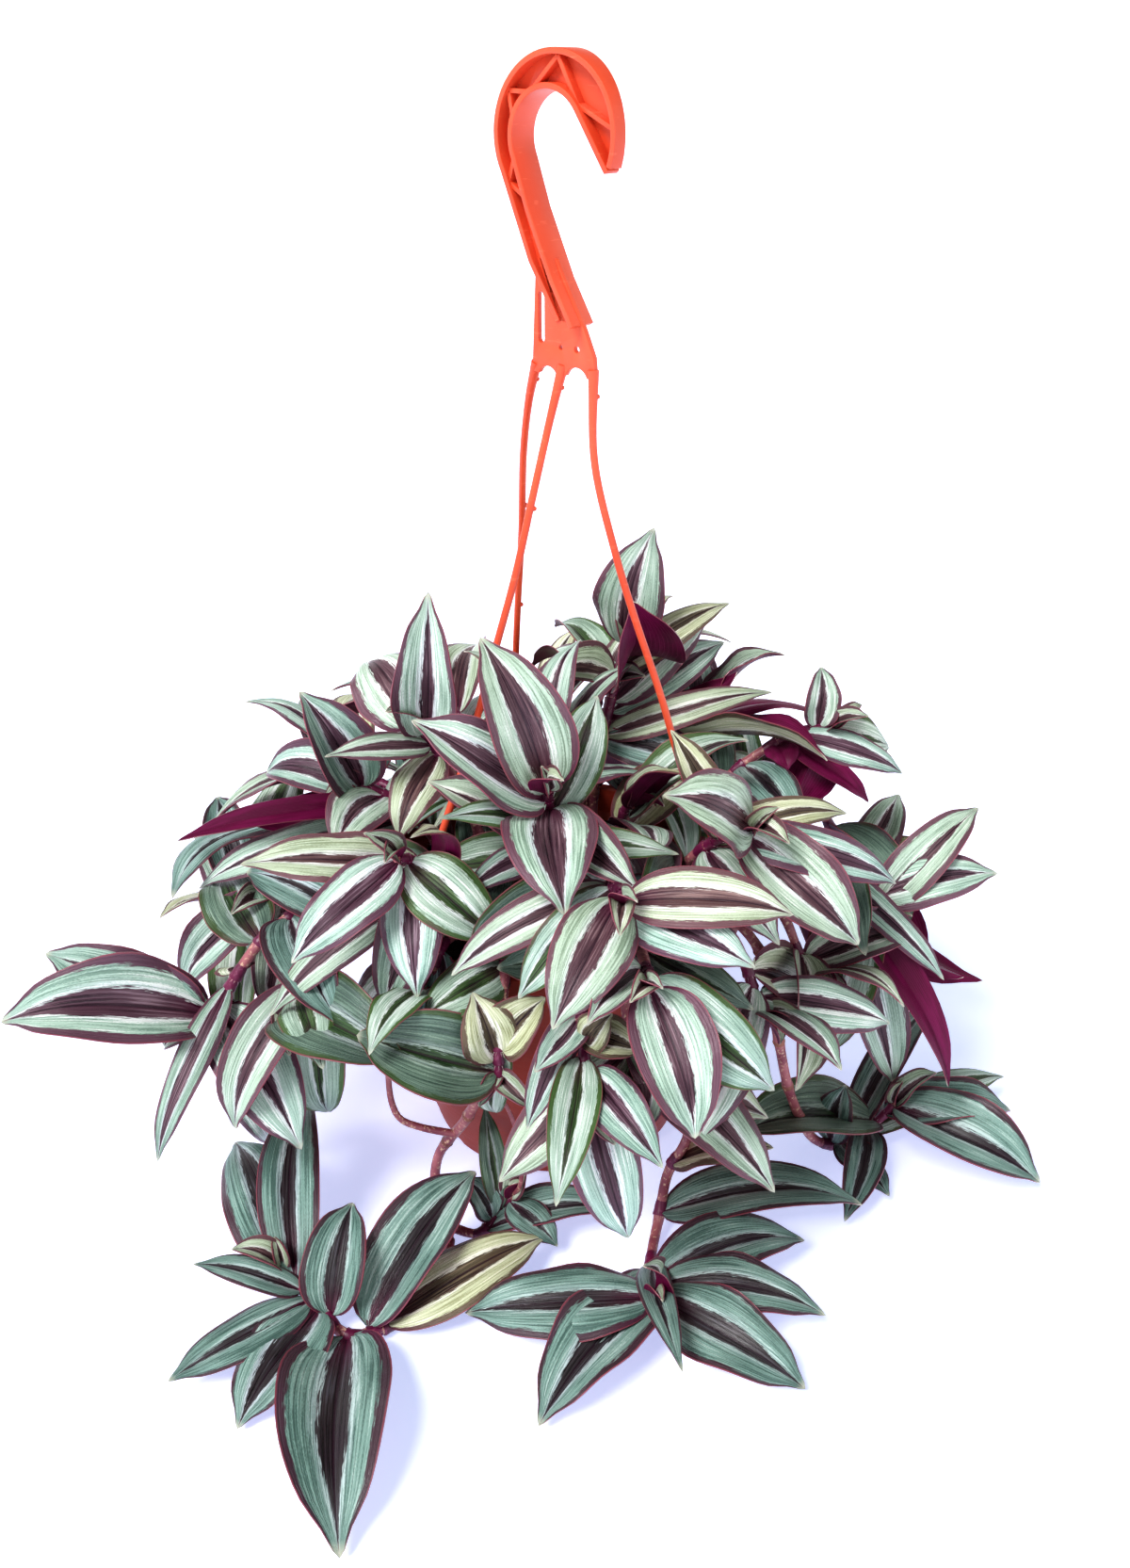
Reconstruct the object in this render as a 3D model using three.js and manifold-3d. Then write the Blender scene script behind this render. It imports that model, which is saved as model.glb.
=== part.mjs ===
// A potted tradescantia in a plastic hanging pot that stands on a surface.
// Millimetres and degrees, +Z up. The origin is the middle of the pot's foot, on that surface.
// +X is to the right of someone who looks at the plant's front, and +Y is away from them.
import * as THREE from "three";
import { mergeVertices } from "three/addons/utils/BufferGeometryUtils.js";
import Module from "manifold-3d";

const wasm = await Module();
wasm.setup();

// The pot
const POT = {
  height: 120,
  footRadius: 54.5,
  taper: 0.2,
  wall: 2,
  floor: 5,
  bossRadius: 32,
  recessRadius: 47,
  recess: 2,
  ringHeight: 10,
  ringStep: 0.6,
  bevel: 1.5,
  sides: 26,
};
const RIM = { radius: 80, height: 15, thickness: 4, lip: 3, flare: 0.6 };
const DRAIN = { count: 6, radius: 4, atRadius: 40, sides: 8 };
const NOTCH = { count: 6, width: 22, height: 2, depth: 12 };
const LUG = { atRadius: 85, halfWidth: 7, thickness: 3.4, top: 116.4, holeRadius: 2.7, overlap: 1.5 };
const LUG_AZIMUTHS = [-15, 225, 105];

// The soil
const GAP = 0.3;
const SOIL = { top: 104, mound: 3, ripple: 1.1, rings: [0.8, 0.55, 0.3], bevel: 1.5 };

// The hanger: one moulding with a hook, a plate and three strands
const HOOK_TURN = -38;
const HOOK = {
  outerCentre: [4.5, 398.8],
  outerRadius: 24,
  outerFrom: -22,
  outerTo: 208,
  outerSides: 13,
  innerCentre: [1.5, 398],
  innerRadius: 15,
  innerFrom: 35,
  innerTo: 205,
  innerSides: 8,
  tip: [26, 388.5],
  outerFoot: [[-6.8, 360], [3.2, 341]],
  innerFoot: [[-6.6, 376.3], [3.7, 354.3], [12.2, 340]],
  depth: 12,
  ribDepth: 9,
  flange: 1.9,
  rib: 1.5,
  web: 2.2,
};
// The hook gets thinner towards its tip: what is cut off it, as seen from above, and the heights of the cut
const HOOK_TAPER = { outline: [[2, 6.2], [31, -0.6], [31, 10], [2, 10]], from: 378, to: 438 };
const HOOK_RIBS = [
  [27.2, 401], [13.5, 407.5], [5.5, 421.5], [-6, 411], [-15, 411.5], [-13, 402], [-18.5, 397],
  [-13, 392], [-15.5, 384], [-7.5, 379], [-9.5, 368], [0, 362], [-3.5, 354], [6, 350.5],
];
const PLATE = {
  outline: [
    [-6.8, 361], [-8.7, 327], [-9.7, 321], [-5.7, 321], [-4.6, 324.5], [-2, 326], [0.6, 324.5],
    [2.2, 321], [6.2, 321], [7.4, 324.5], [10.5, 326], [13.6, 324.5], [15.5, 321], [19.5, 321],
    [18.3, 330], [14.2, 339], [8, 350], [2, 361],
  ],
  thickness: 3,
  slot: [-5.9, 333, -3.2, 350],
  pinHoles: [[4, 332.2], [11, 332.2]],
  pinRadius: 0.8,
};
const STRAND = { radius: 1.4, sides: 6, steps: 12 };
const STRANDS = [
  [[13.8, -10.8, 326], [14.4, -12.5, 295], [22, -14.5, 263], [29, -15.6, 240], [40, -17, 208],
    [53, -19, 167], [70, -21, 134]],
  [[3.3, -2.6, 326], [-1, -4, 309], [-8.5, -12, 278], [-14, -18, 255], [-21, -25, 231],
    [-34, -37, 187], [-51, -52, 140]],
  [[-6, 5, 326], [-9, 10, 312], [-11.6, 19, 290], [-13, 30, 258], [-15.5, 41.6, 222],
    [-17.4, 53, 190], [-20, 70, 145]],
];
const CATCH = {
  bottom: 106,
  top: 121,
  tipRadius: 1.8,
  barbRadius: 3.7,
  neckRadius: 2.2,
  collarRadius: 4.2,
  sides: 8,
};

// The plant: stems, blades and the clearances between them
const STEM = { radius: 2.2, sides: 4, depthInSoil: 12, straight: 5, step: 20 };
const HOLE = { radius: 3.2, sides: 6, drilledFrom: 12 };
const BLADE = { edge: 0.5, keel: 0.11, arch: 0.09, rootWidth: 1.8, offAxis: 0.9, smallWidth: 17 };
const STATIONS = { fine: [0, 0.12, 0.4, 0.74], coarse: [0, 0.24, 0.66] };
const LEAF_SPACING = 5;
const ROOT_OVERLAP = 0.1;
const CLEARANCE = 0.7;
const LOWEST = 0.8;
const SLIMNESS = 0.4;
const SEED = 2027;

// The leaves of a stem by rule: each one turns further from the stem's own direction, and hangs lower
const RULE_LEAF = {
  turn: 20,
  turnStep: 18,
  turnSpread: 12,
  size: 44,
  sizeStep: 5,
  largest: 66,
  sizeSpread: [0.92, 1.08],
  drop: 16,
  dropSpread: 9,
};
// A stem by rule: where it bends out of the soil and over the rim, as shares of its reach, and how high
const RULE_ROUTE = { bend: 0.12, shoulder: 0.65, overRim: 10, lift: 8 };
// The leaves further down every stem, which hang out to either side of it in turn
const OLDER_LEAF = { first: 44, spacing: 15, lowest: 12, turn: [50, 95], size: [46, 62], tilt: [-34, 6] };
// The turns that a blade tries, and then the same at a smaller size
const SWINGS = [7, 14, 22, 32];
const SWING_HEADINGS = 8;
const SIZES = [1, 0.8];

// A blade's tip, seen from the head of its stem, and its width
function leaf(x, y, z, width, more = {}) {
  return { tip: [x, y, z], width, back: null, roll: 0, coarse: width < BLADE.smallWidth, ...more };
}

// The stems that show from the front. Each route starts at the stem's hole in the soil, as [x, y],
// and ends at its head. older is the number of leaves further down the stem.
const FRONT = { azimuth: 270, elevation: 52 };
const FLAT = { azimuth: 270, elevation: 82 };
const STEMS = {
  leafy_stem_top_front: {
    route: [[0, -32], [1, -38, 145], [-2, -54, 178], [-2, -60, 189]],
    facing: FRONT,
    older: 3,
    leaves: [
      leaf(-23, 10, 54, 26), leaf(-46, -5, 30, 24), leaf(6, -50, -20, 30), leaf(18, 35, 21, 20),
      leaf(25, -42, -18, 20), leaf(-20, -34, 2, 14), leaf(-44, 10, -2, 18), leaf(46, -10, -20, 13),
      leaf(-32, -12, -38, 13),
    ],
  },
  leafy_stem_top_left: {
    route: [[-26, -14], [-32, -15, 150], [-48, -18, 188], [-54, -20, 197]],
    facing: FRONT,
    older: 3,
    leaves: [
      leaf(-22, 42, 7, 31), leaf(9, -10, 55, 22), leaf(-31, -20, -5, 12), leaf(-5, -25, -38, 18),
      leaf(-24, -6, 40, 17),
    ],
  },
  leafy_stem_left_high: {
    route: [[-44, 8], [-58, 8, 140], [-76, 10, 152], [-83, 10, 153]],
    facing: FRONT,
    older: 2,
    leaves: [
      leaf(-18, -5, 45, 25), leaf(-43, 0, 17, 21), leaf(-4, -38, -8, 24),
      leaf(-47, -10, -11, 17, { roll: 150 }), leaf(-72, 10, -11, 15), leaf(-66, -20, -36, 18),
      leaf(-61, -25, -45, 11),
    ],
  },
  leafy_stem_front_left: {
    route: [[-36, -36], [-42, -46, 140], [-54, -66, 164], [-57, -70, 166]],
    facing: FRONT,
    older: 2,
    leaves: [
      leaf(-35, -28, -25, 22), leaf(36, -10, -28, 24), leaf(20, -32, -31, 22), leaf(-56, 0, -2, 19),
      leaf(-6, -15, -56, 20), leaf(-49, -15, -58, 16), leaf(-13, -30, 3, 12), leaf(10, -15, -51, 14),
    ],
  },
  leafy_stem_centre: {
    route: [[16, -50], [17, -66, 148], [22, -100, 172], [24, -110, 172]],
    facing: FRONT,
    older: 2,
    leaves: [
      leaf(55, -5, 0, 20), leaf(-24, -30, -27, 25), leaf(33, -28, -12, 22), leaf(-36, 0, -38, 17),
      leaf(-55, -5, -34, 15), leaf(-10, 12, 26, 14),
    ],
  },
  leafy_stem_right_high: {
    route: [[42, -34], [50, -40, 145], [68, -56, 170], [74, -60, 173]],
    facing: FRONT,
    older: 3,
    leaves: [
      leaf(-35, -15, 22, 28), leaf(37, -20, -37, 27), leaf(54, -5, -24, 18), leaf(-31, 20, 30, 14),
      leaf(36, 10, -2, 13), leaf(6, -30, -30, 20),
    ],
  },
  leafy_stem_centre_low: {
    route: [[30, -58], [31, -70, 128], [32, -116, 147], [32, -125, 149]],
    facing: FRONT,
    older: 2,
    leaves: [
      leaf(14, -30, -37, 25), leaf(41, -15, -30, 25), leaf(17, -5, -47, 20), leaf(-18, -18, -5, 14),
    ],
  },
  leafy_stem_right: {
    route: [[58, 6], [74, 1, 134], [108, -10, 132], [134, -20, 110]],
    facing: FRONT,
    older: 2,
    leaves: [
      leaf(40, 20, 39, 18), leaf(46, 5, 13, 20), leaf(-24, -30, -51, 28), leaf(34, -15, -74, 22),
      leaf(46, -10, -6, 17, { roll: 160 }), leaf(57, 0, -18, 17, { roll: 150 }),
      leaf(22, -25, -15, 13), leaf(21, -30, -69, 11), leaf(0, -10, -53, 18, { roll: 160 }),
    ],
  },
  leafy_stem_front_low: {
    route: [[6, -62], [7, -74, 128], [10, -112, 124], [11, -130, 108]],
    facing: FRONT,
    older: 0,
    leaves: [
      leaf(15, -20, -46, 23), leaf(24, -32, -1, 17), leaf(-8, -30, -27, 15), leaf(9, 10, 27, 13),
      leaf(18, 5, 13, 14), leaf(-17, 0, 11, 12), leaf(-20, -2, -13, 12),
    ],
  },
  leafy_stem_left: {
    route: [[-56, -20], [-72, -27, 128], [-110, -46, 120], [-132, -57, 92], [-140, -60, 81]],
    facing: FRONT,
    older: 2,
    leaves: [
      leaf(-57, 5, 34, 24), leaf(-71, -10, 9, 31), leaf(43, -35, -29, 27), leaf(-13, -20, -71, 23),
      leaf(-32, -20, -31, 13), leaf(14, 12, 22, 14),
    ],
  },
  leafy_stem_left_low: {
    route: [[-50, -4], [-72, -6, 130], [-104, -14, 126], [-119, -20, 115]],
    facing: FRONT,
    older: 1,
    leaves: [leaf(-36, -12, -34, 20), leaf(-24, 0, -8, 16), leaf(-17, 0, -26, 15), leaf(2, -24, -38, 18)],
  },
  leafy_stem_left_middle: {
    route: [[-46, -36], [-64, -46, 128], [-92, -62, 112], [-102, -68, 97]],
    facing: FRONT,
    older: 1,
    leaves: [leaf(50, -42, 8, 30), leaf(26, -36, 12, 20), leaf(-20, -26, -36, 20), leaf(10, -14, -52, 20)],
  },
  leafy_stem_front_left_low: {
    route: [[-16, -60], [-17, -70, 126], [-20, -98, 106], [-20, -102, 92]],
    facing: FRONT,
    older: 1,
    leaves: [leaf(-50, 6, 20, 30), leaf(-9, 6, 34, 20), leaf(17, 6, 32, 18), leaf(14, -6, -22, 13)],
  },
  leafy_stem_top_right: {
    route: [[16, 34], [18, 38, 150], [28, 56, 190], [31, 60, 199]],
    facing: FRONT,
    older: 3,
    leaves: [
      leaf(9, -10, 52, 28), leaf(0, -35, 30, 24, { roll: 170 }), leaf(45, 0, 15, 16),
      leaf(-33, -20, -8, 20), leaf(2, -25, -3, 13), leaf(35, 10, 4, 22), leaf(46, 5, -6, 19),
      leaf(48, -6, -14, 20, { roll: 160 }), leaf(62, -15, -20, 15),
    ],
  },
  leafy_stem_right_back: {
    route: [[54, 26], [68, 30, 140], [100, 36, 164], [120, 40, 167]],
    facing: FRONT,
    older: 3,
    leaves: [
      leaf(-19, -30, -21, 27, { roll: 165 }), leaf(-6, 10, 23, 14), leaf(26, 6, -13, 22),
      leaf(30, -10, -17, 15), leaf(14, -20, -26, 10), leaf(-22, -20, -11, 14),
    ],
  },
  trailing_stem_left: {
    route: [
      [-24, -54], [-26, -68, 127], [-28, -86, 116], [-27, -84, 80], [-34, -76, 52], [-48, -70, 24],
      [-49, -76, 7], [-43, -92, 3.4], [-42, -104, 3.4], [-46, -119, 3.4], [-60, -135, 3.4], [-76, -141, 4],
      [-89, -130, 8], [-104, -118, 14],
    ],
    branch: [[-46, -86, 4], [-30, -92, 5], [-23, -84, 10], [-17, -82, 15]],
    facing: FLAT,
    older: 0,
    leaves: [
      leaf(-23, 70, 2, 30), leaf(-2, 83, 4, 22), leaf(-31, -6, 8, 13), leaf(-32, -46, -6, 19),
      leaf(-9, -59, -7, 27), leaf(26, 17, 16, 22), leaf(27, -108, -10, 35, { back: 38 }),
      leaf(72, 38, 12, 27, { back: 46 }), leaf(100, 18, -3, 17, { back: 52 }),
    ],
    branchLeaves: [leaf(18, -20, -7, 15), leaf(-12, 24, 26, 10), leaf(-18, 3, 8, 13), leaf(44, -8, -7, 16)],
  },
  trailing_stem_front: {
    route: [
      [36, -50], [41, -66, 127], [48, -84, 117], [53, -90, 84], [52, -84, 48], [45, -80, 24], [42, -86, 8],
      [38, -103, 3.6], [37, -124, 6], [37, -135, 16],
    ],
    facing: FLAT,
    older: 0,
    leaves: [
      leaf(-70, 0, -7, 28), leaf(52, -29, -12, 28), leaf(-42, -44, -12, 27), leaf(63, -3, -5, 24),
      leaf(58, 33, 9, 25), leaf(-13, -47, -12, 18), leaf(7, -39, 9, 12), leaf(85, 45, 2, 24, { back: 56 }),
      leaf(46, 36, 40, 17, { back: 80 }),
    ],
  },
  trailing_stem_right: {
    route: [
      [52, -34], [64, -43, 126], [78, -52, 117], [88, -55, 80], [98, -52, 40], [112, -47, 12], [128, -40, 6],
      [140, -36, 14], [147, -34, 22],
    ],
    facing: FLAT,
    older: 0,
    leaves: [
      leaf(55, -32, -15, 32), leaf(54, 9, 2, 24), leaf(-73, -27, 6, 30), leaf(-30, -52, -17, 15),
      leaf(50, 26, 20, 18), leaf(57, 22, 8, 15), leaf(-9, -38, -17, 15), leaf(-24, -6, 15, 17),
    ],
  },
};

// The stems of the hidden side, of the inside and of the skirt over the rim, each by its direction from the
// middle of the pot: the distance of its hole, the distance and height of its head, and its leaves
const BACK = { light: 74, rise: 40 };
const SKIRT = { light: 52, rise: 8 };
const RULE_STEMS = {
  leafy_stem_middle: { ...BACK, azimuth: 100, hole: 8, reach: 12, height: 176, leaves: 6, older: 2 },
  leafy_stem_middle_right: { ...BACK, azimuth: 340, hole: 26, reach: 34, height: 156, leaves: 5, older: 2 },
  leafy_stem_skirt_1: { ...SKIRT, azimuth: 240, hole: 62, reach: 94, height: 114, leaves: 4, older: 0 },
  leafy_stem_skirt_2: { ...SKIRT, azimuth: 285, hole: 66, reach: 108, height: 92, leaves: 5, older: 0 },
  leafy_stem_skirt_3: { ...SKIRT, azimuth: 314, hole: 64, reach: 112, height: 104, leaves: 4, older: 0 },
  leafy_stem_skirt_4: { ...SKIRT, azimuth: 334, hole: 60, reach: 112, height: 98, leaves: 4, older: 0 },
  leafy_stem_back_right_low: { ...BACK, azimuth: 20, hole: 60, reach: 150, height: 74, leaves: 6, older: 2 },
  leafy_stem_back_right_top: { ...BACK, azimuth: 42, hole: 40, reach: 92, height: 160, leaves: 6, older: 2 },
  leafy_stem_back_right: { ...BACK, azimuth: 50, hole: 60, reach: 142, height: 96, leaves: 6, older: 2 },
  leafy_stem_back_high: { ...BACK, azimuth: 72, hole: 34, reach: 84, height: 176, leaves: 6, older: 2 },
  leafy_stem_back_low: { ...BACK, azimuth: 78, hole: 61, reach: 146, height: 80, leaves: 6, older: 2 },
  leafy_stem_back: { ...BACK, azimuth: 92, hole: 46, reach: 112, height: 142, leaves: 6, older: 2 },
  leafy_stem_back_left_top: { ...BACK, azimuth: 128, hole: 34, reach: 84, height: 164, leaves: 6, older: 2 },
  leafy_stem_back_left_low: { ...BACK, azimuth: 120, hole: 61, reach: 148, height: 88, leaves: 6, older: 2 },
  leafy_stem_back_left: { ...BACK, azimuth: 146, hole: 54, reach: 122, height: 132, leaves: 6, older: 2 },
  leafy_stem_left_back_low: { ...BACK, azimuth: 166, hole: 60, reach: 150, height: 72, leaves: 6, older: 2 },
};

const rad = THREE.MathUtils.degToRad;
const vec = (x, y, z) => new THREE.Vector3(x, y, z);

// A closed mesh as a solid that can be joined and cut
function solid(geometry) {
  const plain = geometry.clone();
  plain.deleteAttribute("normal");
  plain.deleteAttribute("uv");
  const merged = mergeVertices(plain, 1e-4);
  const corners = merged.index.array;
  const triVerts = [];
  for (let i = 0; i < corners.length; i += 3) {
    const [a, b, c] = corners.subarray(i, i + 3);
    if (a !== b && b !== c && c !== a) triVerts.push(a, b, c);
  }
  return new wasm.Manifold(
    new wasm.Mesh({
      numProp: 3,
      vertProperties: merged.attributes.position.array,
      triVerts: Uint32Array.from(triVerts),
    }),
  );
}

const curveThrough = (points) => new THREE.CatmullRomCurve3(points.map((point) => vec(...point)));
const join = (solids) => solids.reduce((whole, piece) => whole.add(piece));
const cut = (whole, tools) => tools.reduce((rest, tool) => rest.subtract(tool), whole);

// A solid as a named mesh
function node(name, piece, color, roughness) {
  const { vertProperties, triVerts } = piece.getMesh();
  const geometry = new THREE.BufferGeometry();
  geometry.setAttribute("position", new THREE.BufferAttribute(vertProperties, 3));
  geometry.setIndex(new THREE.BufferAttribute(triVerts, 1));
  geometry.computeVertexNormals();
  const mesh = new THREE.Mesh(geometry, new THREE.MeshStandardMaterial({ color, roughness, metalness: 0 }));
  mesh.name = name;
  return mesh;
}

// A turned shape about the Z axis, from points [radius, height] that start and end on the axis
function turned(points, sides) {
  const profile = points.map(([radius, height]) => new THREE.Vector2(radius, height));
  return new THREE.LatheGeometry(profile, sides).rotateX(Math.PI / 2);
}

function cylinder(radius, bottom, top, sides) {
  return turned([[0, bottom], [radius, bottom], [radius, top], [0, top]], sides);
}

// A round rod along a curve
function rod(curve, radius, sides, steps) {
  const section = new THREE.Shape();
  for (let i = 0; i < sides; i++) {
    const angle = (2 * Math.PI * i) / sides;
    const corner = [radius * Math.cos(angle), radius * Math.sin(angle)];
    if (i === 0) section.moveTo(...corner);
    else section.lineTo(...corner);
  }
  section.closePath();
  return new THREE.ExtrudeGeometry(section, { extrudePath: curve, steps, bevelEnabled: false });
}

const wallRadius = (z) => POT.footRadius + POT.taper * z;

function makePot() {
  const { height, floor, wall, bevel, ringHeight: ring } = POT;
  const underRim = height - RIM.height;
  const rimInside = RIM.radius - RIM.thickness;
  const body = turned(
    [
      [0, 0],
      [POT.bossRadius, 0],
      [POT.bossRadius + bevel, POT.recess],
      [POT.recessRadius - bevel, POT.recess],
      [POT.recessRadius, 0],
      [POT.footRadius - 1, 0],
      [POT.footRadius, 1],
      [wallRadius(ring), ring],
      [wallRadius(ring) + POT.ringStep, ring + POT.ringStep],
      [wallRadius(underRim) + POT.ringStep, underRim],
      [RIM.radius - RIM.flare, underRim + bevel],
      [RIM.radius, height - bevel],
      [RIM.radius - 1, height],
      [RIM.radius - RIM.lip, height],
      [rimInside, height - bevel],
      [rimInside, underRim + wall],
      [wallRadius(underRim) - wall, underRim - 1],
      [wallRadius(floor) - wall, floor + 1],
      [wallRadius(floor) - wall - bevel, floor],
      [0, floor],
    ],
    POT.sides,
  );
  const tools = [];
  for (let i = 0; i < DRAIN.count; i++) {
    const hole = cylinder(DRAIN.radius, -1, floor + 1, DRAIN.sides).translate(DRAIN.atRadius, 0, 0);
    tools.push(solid(hole.rotateZ((2 * Math.PI * i) / DRAIN.count)));
  }
  for (let i = 0; i < NOTCH.count; i++) {
    const notch = new THREE.BoxGeometry(NOTCH.depth, NOTCH.width, 2 * NOTCH.height);
    notch.translate(POT.footRadius, 0, 0).rotateZ((2 * Math.PI * (i + 0.5)) / NOTCH.count);
    tools.push(solid(notch));
  }
  return cut(join([solid(body), ...LUG_AZIMUTHS.map(makeLug)]), tools);
}

// A rounded tab on the rim band, with the hole that takes one catch of the hanger
function makeLug(azimuth) {
  const root = RIM.radius - LUG.overlap;
  const outline = new THREE.Shape();
  outline.moveTo(root, -LUG.halfWidth);
  outline.lineTo(LUG.atRadius, -LUG.halfWidth);
  outline.absarc(LUG.atRadius, 0, LUG.halfWidth, -Math.PI / 2, Math.PI / 2, false);
  outline.lineTo(root, LUG.halfWidth);
  outline.closePath();
  const hole = new THREE.Path();
  hole.absarc(LUG.atRadius, 0, LUG.holeRadius, 0, 2 * Math.PI, false);
  outline.holes.push(hole);
  const extrusion = { depth: LUG.thickness, bevelEnabled: false, curveSegments: 5 };
  const tab = new THREE.ExtrudeGeometry(outline, extrusion).translate(0, 0, LUG.top - LUG.thickness);
  return solid(tab.rotateZ(rad(azimuth)));
}

// The soil fills the pot and has a plain hole for every stem
function makeSoil(holes) {
  const inner = (z) => wallRadius(z) - POT.wall - GAP;
  const bottom = POT.floor + GAP;
  const edge = inner(SOIL.top);
  const rings = SOIL.rings.map((share) => [share * edge, SOIL.top + SOIL.mound * (1 - share * share)]);
  const fill = turned(
    [
      [0, bottom],
      [inner(bottom) - SOIL.bevel - GAP, bottom],
      [inner(bottom) - GAP, bottom + SOIL.bevel],
      [edge, SOIL.top],
      ...rings,
      [0, SOIL.top + SOIL.mound],
    ],
    POT.sides,
  );
  const place = fill.getAttribute("position");
  for (let i = 0; i < place.count; i++) {
    const [x, y, z] = [place.getX(i), place.getY(i), place.getZ(i)];
    const ripple = SOIL.ripple * Math.sin(0.23 * x + 1) * Math.cos(0.19 * y + 0.4 * Math.sin(0.15 * x));
    if (z > SOIL.top + 0.1) place.setZ(i, z + ripple);
  }
  const drills = holes.map(([x, y]) => {
    const bottomOfHole = SOIL.top - STEM.depthInSoil - GAP;
    const bore = cylinder(HOLE.radius, bottomOfHole, SOIL.top + HOLE.drilledFrom, HOLE.sides);
    return solid(bore.translate(x, y, 0));
  });
  return cut(solid(fill), drills);
}

// A strip of even width along points [across, height] in the hook's own plane
function strip(points, width, depth) {
  const sides = [[], []];
  points.forEach((point, i) => {
    const before = points[Math.max(i - 1, 0)];
    const after = points[Math.min(i + 1, points.length - 1)];
    const into = new THREE.Vector2(point[0] - before[0], point[1] - before[1]).normalize();
    const out = new THREE.Vector2(after[0] - point[0], after[1] - point[1]).normalize();
    const along = into.clone().add(out).normalize();
    const stretch = i === 0 || i === points.length - 1 ? 1 : 1 / Math.max(0.5, along.dot(out));
    const step = 0.5 * width * stretch;
    sides[0].push([point[0] - along.y * step, point[1] + along.x * step]);
    sides[1].unshift([point[0] + along.y * step, point[1] - along.x * step]);
  });
  return slab([...sides[0], ...sides[1]], depth);
}

// A slab with an outline in the hook's plane, centred on it
function slab(points, depth, openings = []) {
  const outline = new THREE.Shape(points.map(([x, y]) => new THREE.Vector2(x, y)));
  outline.holes.push(...openings);
  const plain = new THREE.ExtrudeGeometry(outline, { depth, bevelEnabled: false, curveSegments: 4 });
  return solid(plain.translate(0, 0, -depth / 2).rotateX(Math.PI / 2).rotateZ(rad(HOOK_TURN)));
}

function arc([x, y], radius, from, to, count) {
  const angles = Array.from({ length: count + 1 }, (_, i) => rad(from + ((to - from) * i) / count));
  return angles.map((angle) => [x + radius * Math.cos(angle), y + radius * Math.sin(angle)]);
}

function makeHanger() {
  const outerArc = arc(HOOK.outerCentre, HOOK.outerRadius, HOOK.outerFrom, HOOK.outerTo, HOOK.outerSides);
  const innerArc = arc(HOOK.innerCentre, HOOK.innerRadius, HOOK.innerFrom, HOOK.innerTo, HOOK.innerSides);
  const outer = [...outerArc, ...HOOK.outerFoot];
  const inner = [HOOK.tip, ...innerArc, ...HOOK.innerFoot];
  const [left, bottom, right, top] = PLATE.slot;
  const slot = new THREE.Path([
    new THREE.Vector2(left, bottom),
    new THREE.Vector2(right, bottom),
    new THREE.Vector2(right, top),
    new THREE.Vector2(left, top),
  ]);
  const pinHoles = PLATE.pinHoles.map(([x, y]) => {
    return new THREE.Path().absarc(x, y, PLATE.pinRadius, 0, 2 * Math.PI, false);
  });
  const pieces = [
    slab([...outer, ...[...inner].reverse()], HOOK.web),
    strip(outer, HOOK.flange, HOOK.depth),
    strip(inner, HOOK.flange, HOOK.depth),
    strip(HOOK_RIBS, HOOK.rib, HOOK.ribDepth),
    slab(PLATE.outline, PLATE.thickness, [slot, ...pinHoles]),
  ];
  const { outline, from, to } = HOOK_TAPER;
  const offcut = new THREE.Shape(outline.map(([x, y]) => new THREE.Vector2(x, y)));
  const wedge = new THREE.ExtrudeGeometry(offcut, { depth: to - from, bevelEnabled: false });
  const hook = cut(join(pieces), [solid(wedge.translate(0, 0, from).rotateZ(rad(HOOK_TURN)))]);
  return join([hook, ...STRANDS.flatMap((route, i) => makeStrand(route, LUG_AZIMUTHS[i]))]);
}

// One strand, and the catch that goes through the lug's hole
function makeStrand(route, azimuth) {
  const [x, y] = [LUG.atRadius * Math.cos(rad(azimuth)), LUG.atRadius * Math.sin(rad(azimuth))];
  const curve = curveThrough([...route, [x, y, CATCH.top - 1]]);
  const collar = LUG.top + GAP;
  const barb = LUG.top - LUG.thickness - GAP;
  const latch = turned(
    [
      [0, CATCH.bottom],
      [CATCH.tipRadius, CATCH.bottom],
      [CATCH.barbRadius, barb],
      [CATCH.neckRadius, barb],
      [CATCH.neckRadius, collar],
      [CATCH.collarRadius, collar],
      [CATCH.collarRadius, collar + 2],
      [STRAND.radius, CATCH.top],
      [0, CATCH.top],
    ],
    CATCH.sides,
  );
  return [solid(rod(curve, STRAND.radius, STRAND.sides, STRAND.steps)), solid(latch.translate(x, y, 0))];
}

// Evenly spread numbers from 0 to 1 that come out the same on every run
function drawer(seed) {
  let state = seed;
  return (low, high) => {
    state = (state * 16807) % 2147483647;
    return low + ((high - low) * state) / 2147483647;
  };
}

function direction(azimuth, elevation) {
  const [a, e] = [rad(azimuth), rad(elevation)];
  return vec(Math.cos(e) * Math.cos(a), Math.cos(e) * Math.sin(a), Math.sin(e));
}

// A blade's half-width at a share of its length: round near the base, with a long point
function bladeShape(share) {
  return 2.69 * share ** 0.58 * (1 - share) ** 0.9;
}

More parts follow.
